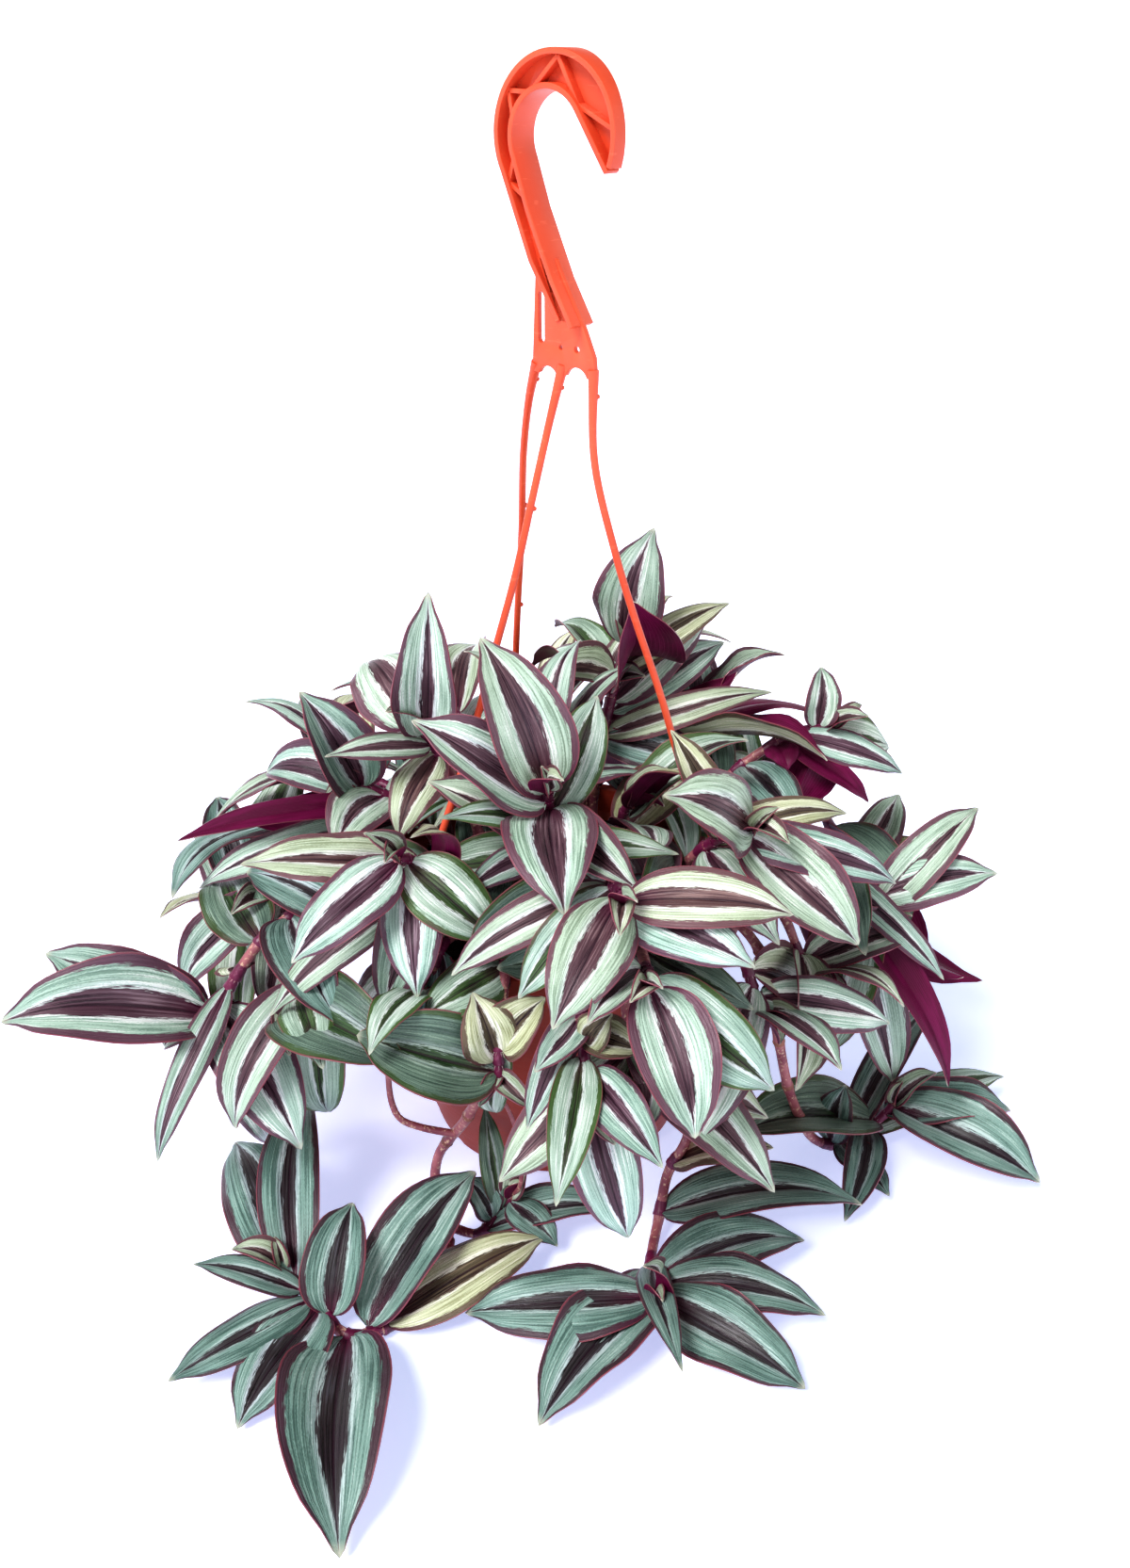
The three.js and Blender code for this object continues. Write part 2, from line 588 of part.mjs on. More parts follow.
// A thin keeled blade that turns its upper face to the light as far as its direction lets it.
// It has three-cornered rings from its root to just before its tip, which is one point.
function makeBlade({ base, tip, width, roll, coarse, facing }, margin) {
  const chord = tip.clone().sub(base);
  const length = chord.length();
  const along = chord.clone().normalize();
  const light = direction(facing.azimuth, facing.elevation);
  const normal = light.clone().addScaledVector(along, -light.dot(along)).normalize();
  normal.applyAxisAngle(along, rad(roll));
  const side = along.clone().cross(normal);
  const corners = [];
  for (const share of coarse ? STATIONS.coarse : STATIONS.fine) {
    const spine = base.clone().addScaledVector(chord, share);
    spine.addScaledVector(normal, 4 * BLADE.arch * length * share * (1 - share));
    const up = normal.clone().addScaledVector(along, -4 * BLADE.arch * (1 - 2 * share)).normalize();
    const reach = Math.max(BLADE.rootWidth / 2, (width / 2) * bladeShape(share));
    const rise = BLADE.edge + BLADE.keel * reach + margin;
    const top = spine.clone().addScaledVector(up, rise);
    corners.push(top.clone().addScaledVector(side, -reach - margin));
    corners.push(top.clone().addScaledVector(side, reach + margin));
    corners.push(spine.clone().addScaledVector(up, -margin));
  }
  corners.push(tip.clone().addScaledVector(along, margin));
  return solid(closeBlade(corners));
}

// The triangles round a blade: its root, its rings and its tip
function closeBlade(corners) {
  const tip = corners.length - 1;
  const faces = [[0, 2, 1]];
  for (let ring = 0; ring < tip; ring += 3) {
    for (let i = 0; i < 3; i++) {
      const [a, b] = [ring + i, ring + ((i + 1) % 3)];
      if (ring + 3 < tip) faces.push([a, b, b + 3], [a, b + 3, a + 3]);
      else faces.push([a, b, tip]);
    }
  }
  return new THREE.BufferGeometry().setFromPoints(corners).setIndex(faces.flat());
}

// The curve of a stem: straight up out of its hole, then through the points of its route
function stemRoute([hole, ...points]) {
  const heights = [-STEM.depthInSoil, -STEM.straight, STEM.straight];
  const straight = heights.map((height) => [...hole, SOIL.top + height]);
  return curveThrough([...straight, ...points]);
}

const rodSteps = (curve) => Math.ceil(curve.getLength() / STEM.step);
const stemRod = (curve) => solid(rod(curve, STEM.radius, STEM.sides, rodSteps(curve)));

// A point in the middle of a stem's rod, which is straight from one step to the next
function rodPoint(curve, share) {
  const steps = rodSteps(curve);
  const step = Math.min(Math.floor(share * steps), steps - 1);
  return curve.getPointAt(step / steps).lerp(curve.getPointAt((step + 1) / steps), share * steps - step);
}

// A stem by rule: it rises out of its hole and leans out to its head, with leaves all round it
function ruleStem({ azimuth, hole, reach, height, light, rise, leaves: count, older }, draw) {
  const out = direction(azimuth, 0);
  const at = (share, z) => {
    const radius = hole + share * (reach - hole);
    return [out.x * radius, out.y * radius, z];
  };
  const shoulder = Math.max(height, POT.height + RULE_ROUTE.overRim);
  const bend = 0.5 * (SOIL.top + shoulder) + RULE_ROUTE.lift;
  const start = at(0, 0).slice(0, 2);
  const route = [start, at(RULE_ROUTE.bend, bend), at(RULE_ROUTE.shoulder, shoulder), at(1, height)];
  const leaves = [];
  for (let i = 0; i < count; i++) {
    const { turnSpread, dropSpread } = RULE_LEAF;
    const turn = (i % 2 ? 1 : -1) * (RULE_LEAF.turn + RULE_LEAF.turnStep * i) + draw(-turnSpread, turnSpread);
    const usual = Math.min(RULE_LEAF.largest, RULE_LEAF.size + RULE_LEAF.sizeStep * i);
    const size = usual * draw(...RULE_LEAF.sizeSpread);
    const elevation = rise - RULE_LEAF.drop * i + draw(-dropSpread, dropSpread);
    const tip = direction(azimuth + turn, elevation).multiplyScalar(size);
    leaves.push(leaf(tip.x, tip.y, tip.z, SLIMNESS * size, { coarse: true }));
  }
  return { route, facing: { azimuth, elevation: light }, older, leaves };
}

// The leaves further down a stem, from the youngest to the oldest
function olderLeaves(curve, count, draw) {
  const length = curve.getLength();
  const leaves = [];
  for (let i = 0; i < count; i++) {
    const back = OLDER_LEAF.first + OLDER_LEAF.spacing * i;
    if (back > length - STEM.depthInSoil - OLDER_LEAF.lowest) break;
    const along = curve.getTangentAt(1 - back / length);
    const heading = THREE.MathUtils.radToDeg(Math.atan2(along.y, along.x));
    const turn = (i % 2 ? 1 : -1) * draw(...OLDER_LEAF.turn);
    const size = draw(...OLDER_LEAF.size);
    const from = curve.getPointAt(1 - back / length).sub(curve.getPointAt(1));
    const tip = from.add(direction(heading + turn, draw(...OLDER_LEAF.tilt)).multiplyScalar(size));
    leaves.push(leaf(tip.x, tip.y, tip.z, SLIMNESS * size, { back, coarse: true }));
  }
  return leaves;
}

// The turns that a blade tries, nearest first, until it is clear of the other stems' leaves
const TURNS = [[0, 0, 1]];
for (const size of SIZES) {
  for (const swing of SWINGS) {
    for (let i = 0; i < SWING_HEADINGS; i++) {
      const heading = (2 * Math.PI * i) / SWING_HEADINGS;
      TURNS.push([swing * Math.cos(heading), swing * Math.sin(heading), size]);
    }
  }
}

function turnedTip({ base, tip }, [yaw, pitch, size]) {
  const chord = tip.clone().sub(base).multiplyScalar(size);
  const level = vec(chord.y, -chord.x, 0).normalize();
  chord.applyAxisAngle(level, rad(pitch)).applyAxisAngle(vec(0, 0, 1), rad(yaw));
  return base.clone().add(chord);
}

function overlap(a, b) {
  const [p, q] = [a.boundingBox(), b.boundingBox()];
  const apart = [0, 1, 2].some((axis) => p.min[axis] > q.max[axis] || q.min[axis] > p.max[axis]);
  return apart ? 0 : a.intersect(b).volume();
}

// A blade's first place that lies above the surface and clear of everything that is taken.
// Blades of one stem may meet at their roots, or anywhere if there is no other way.
function findPlace(blade, name, taken) {
  const places = TURNS.map((turn) => ({ ...blade, tip: turnedTip(blade, turn) }));
  const free = (place, ownOverlap) => {
    const thin = makeBlade(place, 0);
    if (thin.boundingBox().min[2] < LOWEST) return false;
    const fat = makeBlade(place, CLEARANCE);
    return taken.every((other) =>
      other.name === name ? overlap(thin, other.piece) <= ownOverlap : overlap(fat, other.piece) === 0,
    );
  };
  return places.find((place) => free(place, ROOT_OVERLAP)) ?? places.find((place) => free(place, Infinity));
}

// The leaves of one head as blades, from the youngest down
function bladesOf({ curve, leaves }, facing) {
  const head = curve.getPointAt(1);
  const length = curve.getLength();
  return leaves.map(({ tip, width, back, roll, coarse }, i) => {
    const share = 1 - (back ?? LEAF_SPACING * (i + 0.5)) / length;
    const root = rodPoint(curve, share);
    const end = head.clone().add(vec(...tip));
    const stem = curve.getTangentAt(share);
    const outward = end.clone().sub(root);
    outward.addScaledVector(stem, -outward.dot(stem)).setLength(BLADE.offAxis);
    return { base: root.add(outward), tip: end, width, roll, coarse, facing };
  });
}

// The plan of every stem: its curve, and a branch's if it has one, each with its leaves
function planPlant() {
  const draw = drawer(SEED);
  const stems = { ...STEMS };
  for (const [name, size] of Object.entries(RULE_STEMS)) stems[name] = ruleStem(size, draw);
  return Object.entries(stems).map(([name, stem]) => {
    const curve = stemRoute(stem.route);
    const shoots = [{ curve, leaves: [...stem.leaves, ...olderLeaves(curve, stem.older, draw)] }];
    if (stem.branch) shoots.push({ curve: curveThrough(stem.branch), leaves: stem.branchLeaves });
    return { name, hole: stem.route[0], facing: stem.facing, shoots };
  });
}

// The solids of every stem. The stems come first, and then each leaf finds its place among them.
function growPlant(plan, others) {
  const taken = others.map((piece) => ({ name: null, piece }));
  const grown = plan.map(({ name, shoots }) => {
    const pieces = shoots.map(({ curve }) => stemRod(curve));
    for (const piece of pieces) taken.push({ name, piece, rod: true });
    return { name, pieces };
  });
  plan.forEach(({ name, facing, shoots }, i) => {
    const around = () => taken.filter((other) => !(other.rod && other.name === name));
    for (const blade of shoots.flatMap((shoot) => bladesOf(shoot, facing))) {
      const place = findPlace(blade, name, around());
      if (!place) continue;
      const piece = makeBlade(place, 0);
      grown[i].pieces.push(piece);
      taken.push({ name, piece });
    }
  });
  return grown.map(({ name, pieces }) => ({ name, whole: join(pieces) }));
}

const plan = planPlant();
const pot = makePot();
const hanger = makeHanger();
const soil = makeSoil(plan.map(({ hole }) => hole));

const group = new THREE.Group();
group.add(node("pot", pot, 0xb4492f, 0.5));
group.add(node("soil", soil, 0x2e231c, 0.95));
group.add(node("hanger", hanger, 0xe8563a, 0.45));
for (const { name, whole } of growPlant(plan, [pot, hanger, soil])) {
  group.add(node(name, whole, 0x6f9c8a, 0.55));
}

export default group;
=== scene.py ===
"""A potted tradescantia in a plastic hanging pot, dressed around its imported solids.

Sizes are in millimetres and degrees until a point is written to a mesh, which is in metres.
+Z is up, +X is to the right of someone who looks at the plant's front, and +Y is away from them.
The origin is the middle of the pot's foot, on the surface that it stands on.
"""

import logging
import math
import random
from collections.abc import Sequence
from dataclasses import dataclass, field, replace
from enum import Enum

import bmesh
import bpy
import numpy as np
from bmesh.types import BMEdge, BMesh, BMFace, BMVert
from bpy.types import Material, NodeSocket, Object
from mathutils import Matrix, Vector, kdtree, noise


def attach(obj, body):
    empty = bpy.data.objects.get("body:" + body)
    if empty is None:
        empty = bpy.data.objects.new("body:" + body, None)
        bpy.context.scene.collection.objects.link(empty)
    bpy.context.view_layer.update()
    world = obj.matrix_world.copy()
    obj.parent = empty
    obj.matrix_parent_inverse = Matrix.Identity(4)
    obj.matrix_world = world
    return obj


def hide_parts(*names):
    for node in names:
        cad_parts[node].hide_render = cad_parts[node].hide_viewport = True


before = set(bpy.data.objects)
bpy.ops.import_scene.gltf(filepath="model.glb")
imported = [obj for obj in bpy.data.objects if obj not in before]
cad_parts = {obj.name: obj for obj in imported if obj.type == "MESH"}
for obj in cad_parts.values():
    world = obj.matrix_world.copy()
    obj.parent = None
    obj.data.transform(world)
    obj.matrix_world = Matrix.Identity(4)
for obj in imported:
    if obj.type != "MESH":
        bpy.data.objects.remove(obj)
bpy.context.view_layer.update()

MM = 0.001
BODY = "root"
Point = Sequence[float]
Span = tuple[float, float]
Output = NodeSocket
log = logging.getLogger("potted_tradescantia")


# The plan of the plant: the routes, places and rules that its solids were grown by, and each leaf's look


class LeafLook(Enum):
    """A leaf's colouring: how green its middle is, how cream its bands are, and how old it looks."""

    SILVER = (0.0, 0.0, 0.0)
    BLUSH = (0.0, 0.35, 0.0)
    GREEN = (0.85, 0.1, 0.2)
    CREAM = (0.3, 1.0, 0.05)
    DEEP = (0.1, 0.0, 0.55)
    OLD = (0.6, 0.0, 1.0)


SILVER, BLUSH, GREEN, CREAM, DEEP, OLD = LeafLook


@dataclass(frozen=True)
class Leaf:
    """One leaf of the plan: its tip seen from the head of its stem, its width and its look.

    The roll turns its face about its length, back is how far below the head it grows where that isn't by
    the rule, and over marks a leaf that is turned over, with its underside up.
    """

    x: float
    y: float
    z: float
    width: float
    look: LeafLook = LeafLook.SILVER
    roll: float = 0.0
    back: float | None = None
    over: bool = False

    @property
    def tip(self) -> np.ndarray:
        """The tip, seen from the head of the stem."""
        return np.array([self.x, self.y, self.z])


@dataclass(frozen=True)
class Light:
    """The direction that a stem's leaves turn their faces to."""

    azimuth: float
    elevation: float


FRONT = Light(270, 52)
FLAT = Light(270, 82)


@dataclass(frozen=True)
class Twig:
    """A bare side stem or leaf stalk on a leafy stem: its route, how thick it is, and if its end is cut."""

    route: tuple[Point, ...]
    start_radius: float
    end_radius: float
    cut: bool = False


@dataclass(frozen=True)
class Stem:
    """One leafy stem: its route from its hole in the soil to its head, and its leaves."""

    name: str
    route: tuple[Point, ...]
    facing: Light
    older: int
    leaves: tuple[Leaf, ...]
    branch: tuple[Point, ...] = ()
    branch_leaves: tuple[Leaf, ...] = ()
    twigs: tuple[Twig, ...] = ()


STEMS = (
    Stem(
        "leafy_stem_top_front",
        ((0, -32), (1, -38, 145), (-2, -54, 178), (-2, -60, 189)),
        FRONT,
        3,
        (
            Leaf(-23, 10, 54, 26), Leaf(-46, -5, 30, 24), Leaf(6, -50, -20, 30), Leaf(18, 35, 21, 20, GREEN),
            Leaf(25, -42, -18, 20), Leaf(-20, -34, 2, 14, GREEN), Leaf(-44, 10, -2, 18, BLUSH),
            Leaf(46, -10, -20, 13, GREEN), Leaf(-32, -12, -38, 13),
        ),
    ),
    Stem(
        "leafy_stem_top_left",
        ((-26, -14), (-32, -15, 150), (-48, -18, 188), (-54, -20, 197)),
        FRONT,
        3,
        (
            Leaf(-22, 42, 7, 31), Leaf(9, -10, 55, 22), Leaf(-31, -20, -5, 12), Leaf(-5, -25, -38, 18, BLUSH),
        ),
    ),
    Stem(
        "leafy_stem_left_high",
        ((-44, 8), (-58, 8, 140), (-76, 10, 152), (-83, 10, 153)),
        FRONT,
        2,
        (
            Leaf(-18, -5, 45, 25), Leaf(-43, 0, 17, 21), Leaf(-4, -38, -8, 24),
            Leaf(-47, -10, -11, 17, roll=150), Leaf(-72, 10, -11, 10, over=True), Leaf(-66, -20, -36, 18),
            Leaf(-61, -25, -45, 11),
        ),
    ),
    Stem(
        "leafy_stem_front_left",
        ((-36, -36), (-42, -46, 140), (-54, -66, 164), (-57, -70, 166)),
        FRONT,
        2,
        (
            Leaf(-35, -28, -25, 22), Leaf(36, -10, -28, 24, GREEN), Leaf(20, -32, -31, 22),
            Leaf(-56, 0, -2, 19, BLUSH), Leaf(-6, -15, -56, 20), Leaf(-49, -15, -58, 16),
            Leaf(-13, -30, 3, 12, CREAM), Leaf(10, -15, -51, 14, BLUSH),
        ),
    ),
    Stem(
        "leafy_stem_centre",
        ((16, -50), (17, -66, 148), (22, -100, 172), (24, -110, 172)),
        FRONT,
        2,
        (
            Leaf(55, -5, 0, 20, BLUSH), Leaf(-24, -30, -27, 25), Leaf(33, -28, -12, 22),
            Leaf(-36, 0, -38, 17, GREEN), Leaf(-55, -5, -34, 15, BLUSH), Leaf(-10, 12, 26, 14),
        ),
    ),
    Stem(
        "leafy_stem_right_high",
        ((42, -34), (50, -40, 145), (68, -56, 170), (74, -60, 173)),
        FRONT,
        3,
        (
            Leaf(-35, -15, 22, 28), Leaf(37, -20, -37, 27), Leaf(54, -5, -24, 18),
            Leaf(-31, 20, 30, 14, CREAM), Leaf(36, 10, -2, 13, CREAM), Leaf(6, -30, -30, 20),
        ),
    ),
    Stem(
        "leafy_stem_centre_low",
        ((30, -58), (31, -70, 128), (32, -116, 147), (32, -125, 149)),
        FRONT,
        2,
        (
            Leaf(14, -30, -37, 25), Leaf(41, -15, -30, 25, GREEN), Leaf(17, -5, -47, 20),
            Leaf(-18, -18, -5, 14),
        ),
    ),
    Stem(
        "leafy_stem_right",
        ((58, 6), (74, 1, 134), (108, -10, 132), (134, -20, 110)),
        FRONT,
        2,
        (
            Leaf(40, 20, 39, 18), Leaf(46, 5, 13, 20), Leaf(-24, -30, -51, 28, GREEN),
            Leaf(34, -15, -74, 22), Leaf(46, -10, -6, 22, roll=160), Leaf(57, 0, -18, 22, roll=150),
            Leaf(22, -25, -15, 13), Leaf(21, -30, -69, 14, over=True), Leaf(0, -10, -53, 21, roll=160),
        ),
    ),
    Stem(
        "leafy_stem_front_low",
        ((6, -62), (7, -74, 128), (10, -112, 124), (11, -130, 108)),
        FRONT,
        0,
        (
            Leaf(15, -20, -46, 23), Leaf(24, -32, -1, 17), Leaf(-8, -30, -27, 15, GREEN),
            Leaf(9, 10, 27, 13, CREAM), Leaf(18, 5, 13, 14, CREAM), Leaf(-17, 0, 11, 12),
            Leaf(-20, -2, -13, 12),
        ),
    ),
    Stem(
        "leafy_stem_left",
        ((-56, -20), (-72, -27, 128), (-110, -46, 120), (-132, -57, 92), (-140, -60, 81)),
        FRONT,
        2,
        (
            Leaf(-57, 5, 34, 24), Leaf(-71, -10, 9, 31), Leaf(43, -35, -29, 27), Leaf(-13, -20, -71, 23),
            Leaf(-32, -20, -31, 13), Leaf(14, 12, 22, 14, BLUSH),
        ),
    ),
    Stem(
        "leafy_stem_left_low",
        ((-50, -4), (-72, -6, 130), (-104, -14, 126), (-119, -20, 115)),
        FRONT,
        1,
        (
            Leaf(-36, -12, -34, 20), Leaf(-24, 0, -8, 16, GREEN), Leaf(-17, 0, -26, 15),
            Leaf(2, -24, -38, 18),
        ),
    ),
    Stem(
        "leafy_stem_left_middle",
        ((-46, -36), (-64, -46, 128), (-92, -62, 112), (-102, -68, 97)),
        FRONT,
        1,
        (
            Leaf(50, -42, 8, 30, OLD), Leaf(26, -36, 12, 20, GREEN), Leaf(-20, -26, -36, 20),
            Leaf(10, -14, -52, 20, GREEN),
        ),
    ),
    Stem(
        "leafy_stem_front_left_low",
        ((-16, -60), (-17, -70, 126), (-20, -98, 106), (-20, -102, 92)),
        FRONT,
        1,
        (
            Leaf(-50, 6, 20, 30, OLD), Leaf(-9, 6, 34, 20, CREAM), Leaf(17, 6, 32, 18, CREAM),
            Leaf(14, -6, -22, 13, GREEN),
        ),
    ),
    Stem(
        "leafy_stem_top_right",
        ((16, 34), (18, 38, 150), (28, 56, 190), (31, 60, 199)),
        FRONT,
        3,
        (
            Leaf(9, -10, 52, 28), Leaf(0, -35, 30, 33, roll=170, over=True), Leaf(45, 0, 15, 16, CREAM),
            Leaf(-33, -20, -8, 20, BLUSH), Leaf(2, -25, -3, 13), Leaf(35, 10, 4, 22), Leaf(46, 5, -6, 19),
            Leaf(48, -6, -14, 20, roll=160), Leaf(62, -15, -20, 15, BLUSH),
        ),
    ),
    Stem(
        "leafy_stem_right_back",
        ((54, 26), (68, 30, 140), (100, 36, 164), (120, 40, 167)),
        FRONT,
        3,
        (
            Leaf(-19, -30, -21, 27, roll=165), Leaf(-6, 10, 23, 14), Leaf(26, 6, -13, 22, GREEN),
            Leaf(30, -10, -17, 15), Leaf(14, -20, -26, 10, over=True), Leaf(-22, -20, -11, 14, over=True),
        ),
    ),
    Stem(
        "trailing_stem_left",
        (
            (-24, -54), (-26, -68, 127), (-28, -86, 116), (-27, -84, 80), (-34, -76, 52), (-48, -70, 24),
            (-49, -76, 7), (-43, -92, 3.4), (-42, -104, 3.4), (-46, -119, 3.4), (-60, -135, 3.4),
            (-76, -141, 4), (-89, -130, 8), (-104, -118, 14),
        ),
        FLAT,
        0,
        (
            Leaf(-23, 70, 2, 30, DEEP), Leaf(-2, 83, 4, 22, DEEP), Leaf(-31, -6, 8, 13, DEEP),
            Leaf(-32, -46, -6, 19, DEEP), Leaf(-9, -59, -7, 27, DEEP), Leaf(26, 17, 16, 22, DEEP),
            Leaf(27, -108, -10, 35, DEEP, back=38), Leaf(72, 38, 12, 27, DEEP, back=46),
            Leaf(100, 18, -3, 24, CREAM, back=52),
        ),
        branch=((-46, -86, 4), (-30, -92, 5), (-23, -84, 10), (-17, -82, 15)),
        branch_leaves=(
            Leaf(18, -20, -7, 15, DEEP), Leaf(-12, 24, 26, 10, OLD), Leaf(-18, 3, 8, 13, DEEP),
            Leaf(44, -8, -7, 16, DEEP),
        ),
        twigs=(
            Twig(
                ((-40, -73.5, 40), (-54, -76, 46), (-61, -77, 51), (-64, -77, 60), (-65, -74, 74)), 1.6, 1.1
            ),
            Twig(((-27, -84, 79), (-23, -87, 75.5), (-20.5, -91, 75)), 2.0, 2.0, cut=True),
            Twig(((-27, -84, 78), (-18, -88, 66), (-13, -89, 44), (-14, -86, 24), (-17, -82, 16)), 0.7, 1.0),
        ),
    ),
    Stem(
        "trailing_stem_front",
        (
            (36, -50), (41, -66, 127), (48, -84, 117), (53, -90, 84), (52, -84, 48), (45, -80, 24),
            (42, -86, 8), (38, -103, 3.6), (37, -124, 6), (37, -135, 16),
        ),
        FLAT,
        0,
        (
            Leaf(-70, 0, -7, 28, DEEP), Leaf(52, -29, -12, 28, DEEP), Leaf(-42, -44, -12, 27, DEEP),
            Leaf(63, -3, -5, 24, DEEP), Leaf(58, 33, 9, 25, DEEP), Leaf(-13, -47, -12, 18, DEEP),
            Leaf(7, -39, 9, 12, DEEP), Leaf(85, 45, 2, 24, DEEP, back=56),
            Leaf(46, 36, 40, 17, CREAM, back=80),
        ),
    ),
    Stem(
        "trailing_stem_right",
        (
            (52, -34), (64, -43, 126), (78, -52, 117), (88, -55, 80), (98, -52, 40), (112, -47, 12),
            (128, -40, 6), (140, -36, 14), (147, -34, 22),
        ),
        FLAT,
        0,
        (
            Leaf(55, -32, -15, 32, DEEP), Leaf(54, 9, 2, 24, DEEP), Leaf(-73, -27, 6, 30, OLD),
            Leaf(-30, -52, -17, 15, DEEP), Leaf(50, 26, 20, 18, GREEN), Leaf(57, 22, 8, 15, DEEP),
            Leaf(-9, -38, -17, 15, DEEP), Leaf(-24, -6, 15, 17, DEEP),
        ),
    ),
)


@dataclass(frozen=True)
class RuleStem:
    """A stem of the hidden side or of the skirt, by its direction from the middle of the pot.

    Light is how steeply its leaves face up, and rise how steeply the first one stands. Over lists the leaves
    that are turned over, and without those that are left off so that the pot shows.
    """

    name: str
    azimuth: float
    hole: float
    reach: float
    height: float
    leaves: int = 6
    older: int = 2
    light: float = 74
    rise: float = 40
    over: tuple[int, ...] = ()
    without: tuple[int, ...] = ()


RULE_STEMS = (
    RuleStem("leafy_stem_middle", 100, 8, 12, 176),
    RuleStem("leafy_stem_middle_right", 340, 26, 34, 156, leaves=5),
    RuleStem("leafy_stem_skirt_1", 240, 62, 94, 114, leaves=4, older=0, light=52, rise=8),
    RuleStem("leafy_stem_skirt_2", 285, 66, 108, 92, leaves=5, older=0, light=52, rise=8, without=(4,)),
    RuleStem("leafy_stem_skirt_3", 314, 64, 112, 104, leaves=4, older=0, light=52, rise=8),
    RuleStem("leafy_stem_skirt_4", 334, 60, 112, 98, leaves=4, older=0, light=52, rise=8),
    RuleStem("leafy_stem_back_right_low", 20, 60, 150, 74, over=(4,)),
    RuleStem("leafy_stem_back_right_top", 42, 40, 92, 160, over=(2, 4)),
    RuleStem("leafy_stem_back_right", 50, 60, 142, 96),
    RuleStem("leafy_stem_back_high", 72, 34, 84, 176),
    RuleStem("leafy_stem_back_low", 78, 61, 146, 80),
    RuleStem("leafy_stem_back", 92, 46, 112, 142),
    RuleStem("leafy_stem_back_left_top", 128, 34, 84, 164),
    RuleStem("leafy_stem_back_left_low", 120, 61, 148, 88),
    RuleStem("leafy_stem_back_left", 146, 54, 122, 132),
    RuleStem("leafy_stem_left_back_low", 166, 60, 150, 72),
)

# How stems stand in the soil, how leaves sit on them, and how a leaf turns to be clear of its neighbours
SOIL_TOP = 104.0
POT_HEIGHT = 120.0
STEM_DEPTH = 12.0
STEM_STRAIGHT = 5.0
ROD_STEP = 20.0
LEAF_SPACING = 5.0
OFF_AXIS = 0.9
SLIMNESS = 0.4
SEED = 2027
SWINGS = (7, 14, 22, 32)
SWING_HEADINGS = 8
SIZES = (1, 0.8)
SAME_POINT = 0.05 * MM


class Drawer:
    """Evenly spread numbers that come out the same on every run."""

    MODULUS = 2147483647
    FACTOR = 16807

    def __init__(self, seed: int) -> None:
        """Starts the row of numbers.

        Args:
            seed: The number that the row starts from.
        """
        self.state = seed

    def between(self, low: float, high: float) -> float:
        """The next number.

        Args:
            low: The lowest that it can be.
            high: The highest that it can be.

        Returns:
            A number from low to high.
        """
        self.state = (self.state * self.FACTOR) % self.MODULUS
        return low + ((high - low) * self.state) / self.MODULUS


def direction(azimuth: float, elevation: float) -> np.ndarray:
    """A direction of length one.

    Args:
        azimuth: Degrees from +X towards +Y.
        elevation: Degrees above the level.

    Returns:
        The direction.
    """
    a, e = math.radians(azimuth), math.radians(elevation)
    return np.array([math.cos(e) * math.cos(a), math.cos(e) * math.sin(a), math.sin(e)])


def unit(vector: np.ndarray) -> np.ndarray:
    """The vector at a length of one."""
    return vector / np.linalg.norm(vector)


def turned(vector: np.ndarray, axis: np.ndarray, degrees: float) -> np.ndarray:
    """A vector turned about an axis.

    Args:
        vector: What is turned.
        axis: A direction of length one.
        degrees: The turn, by the right hand.

    Returns:
        The turned vector.
    """
    angle = math.radians(degrees)
    level = vector * math.cos(angle) + np.cross(axis, vector) * math.sin(angle)
    return level + axis * np.dot(axis, vector) * (1 - math.cos(angle))


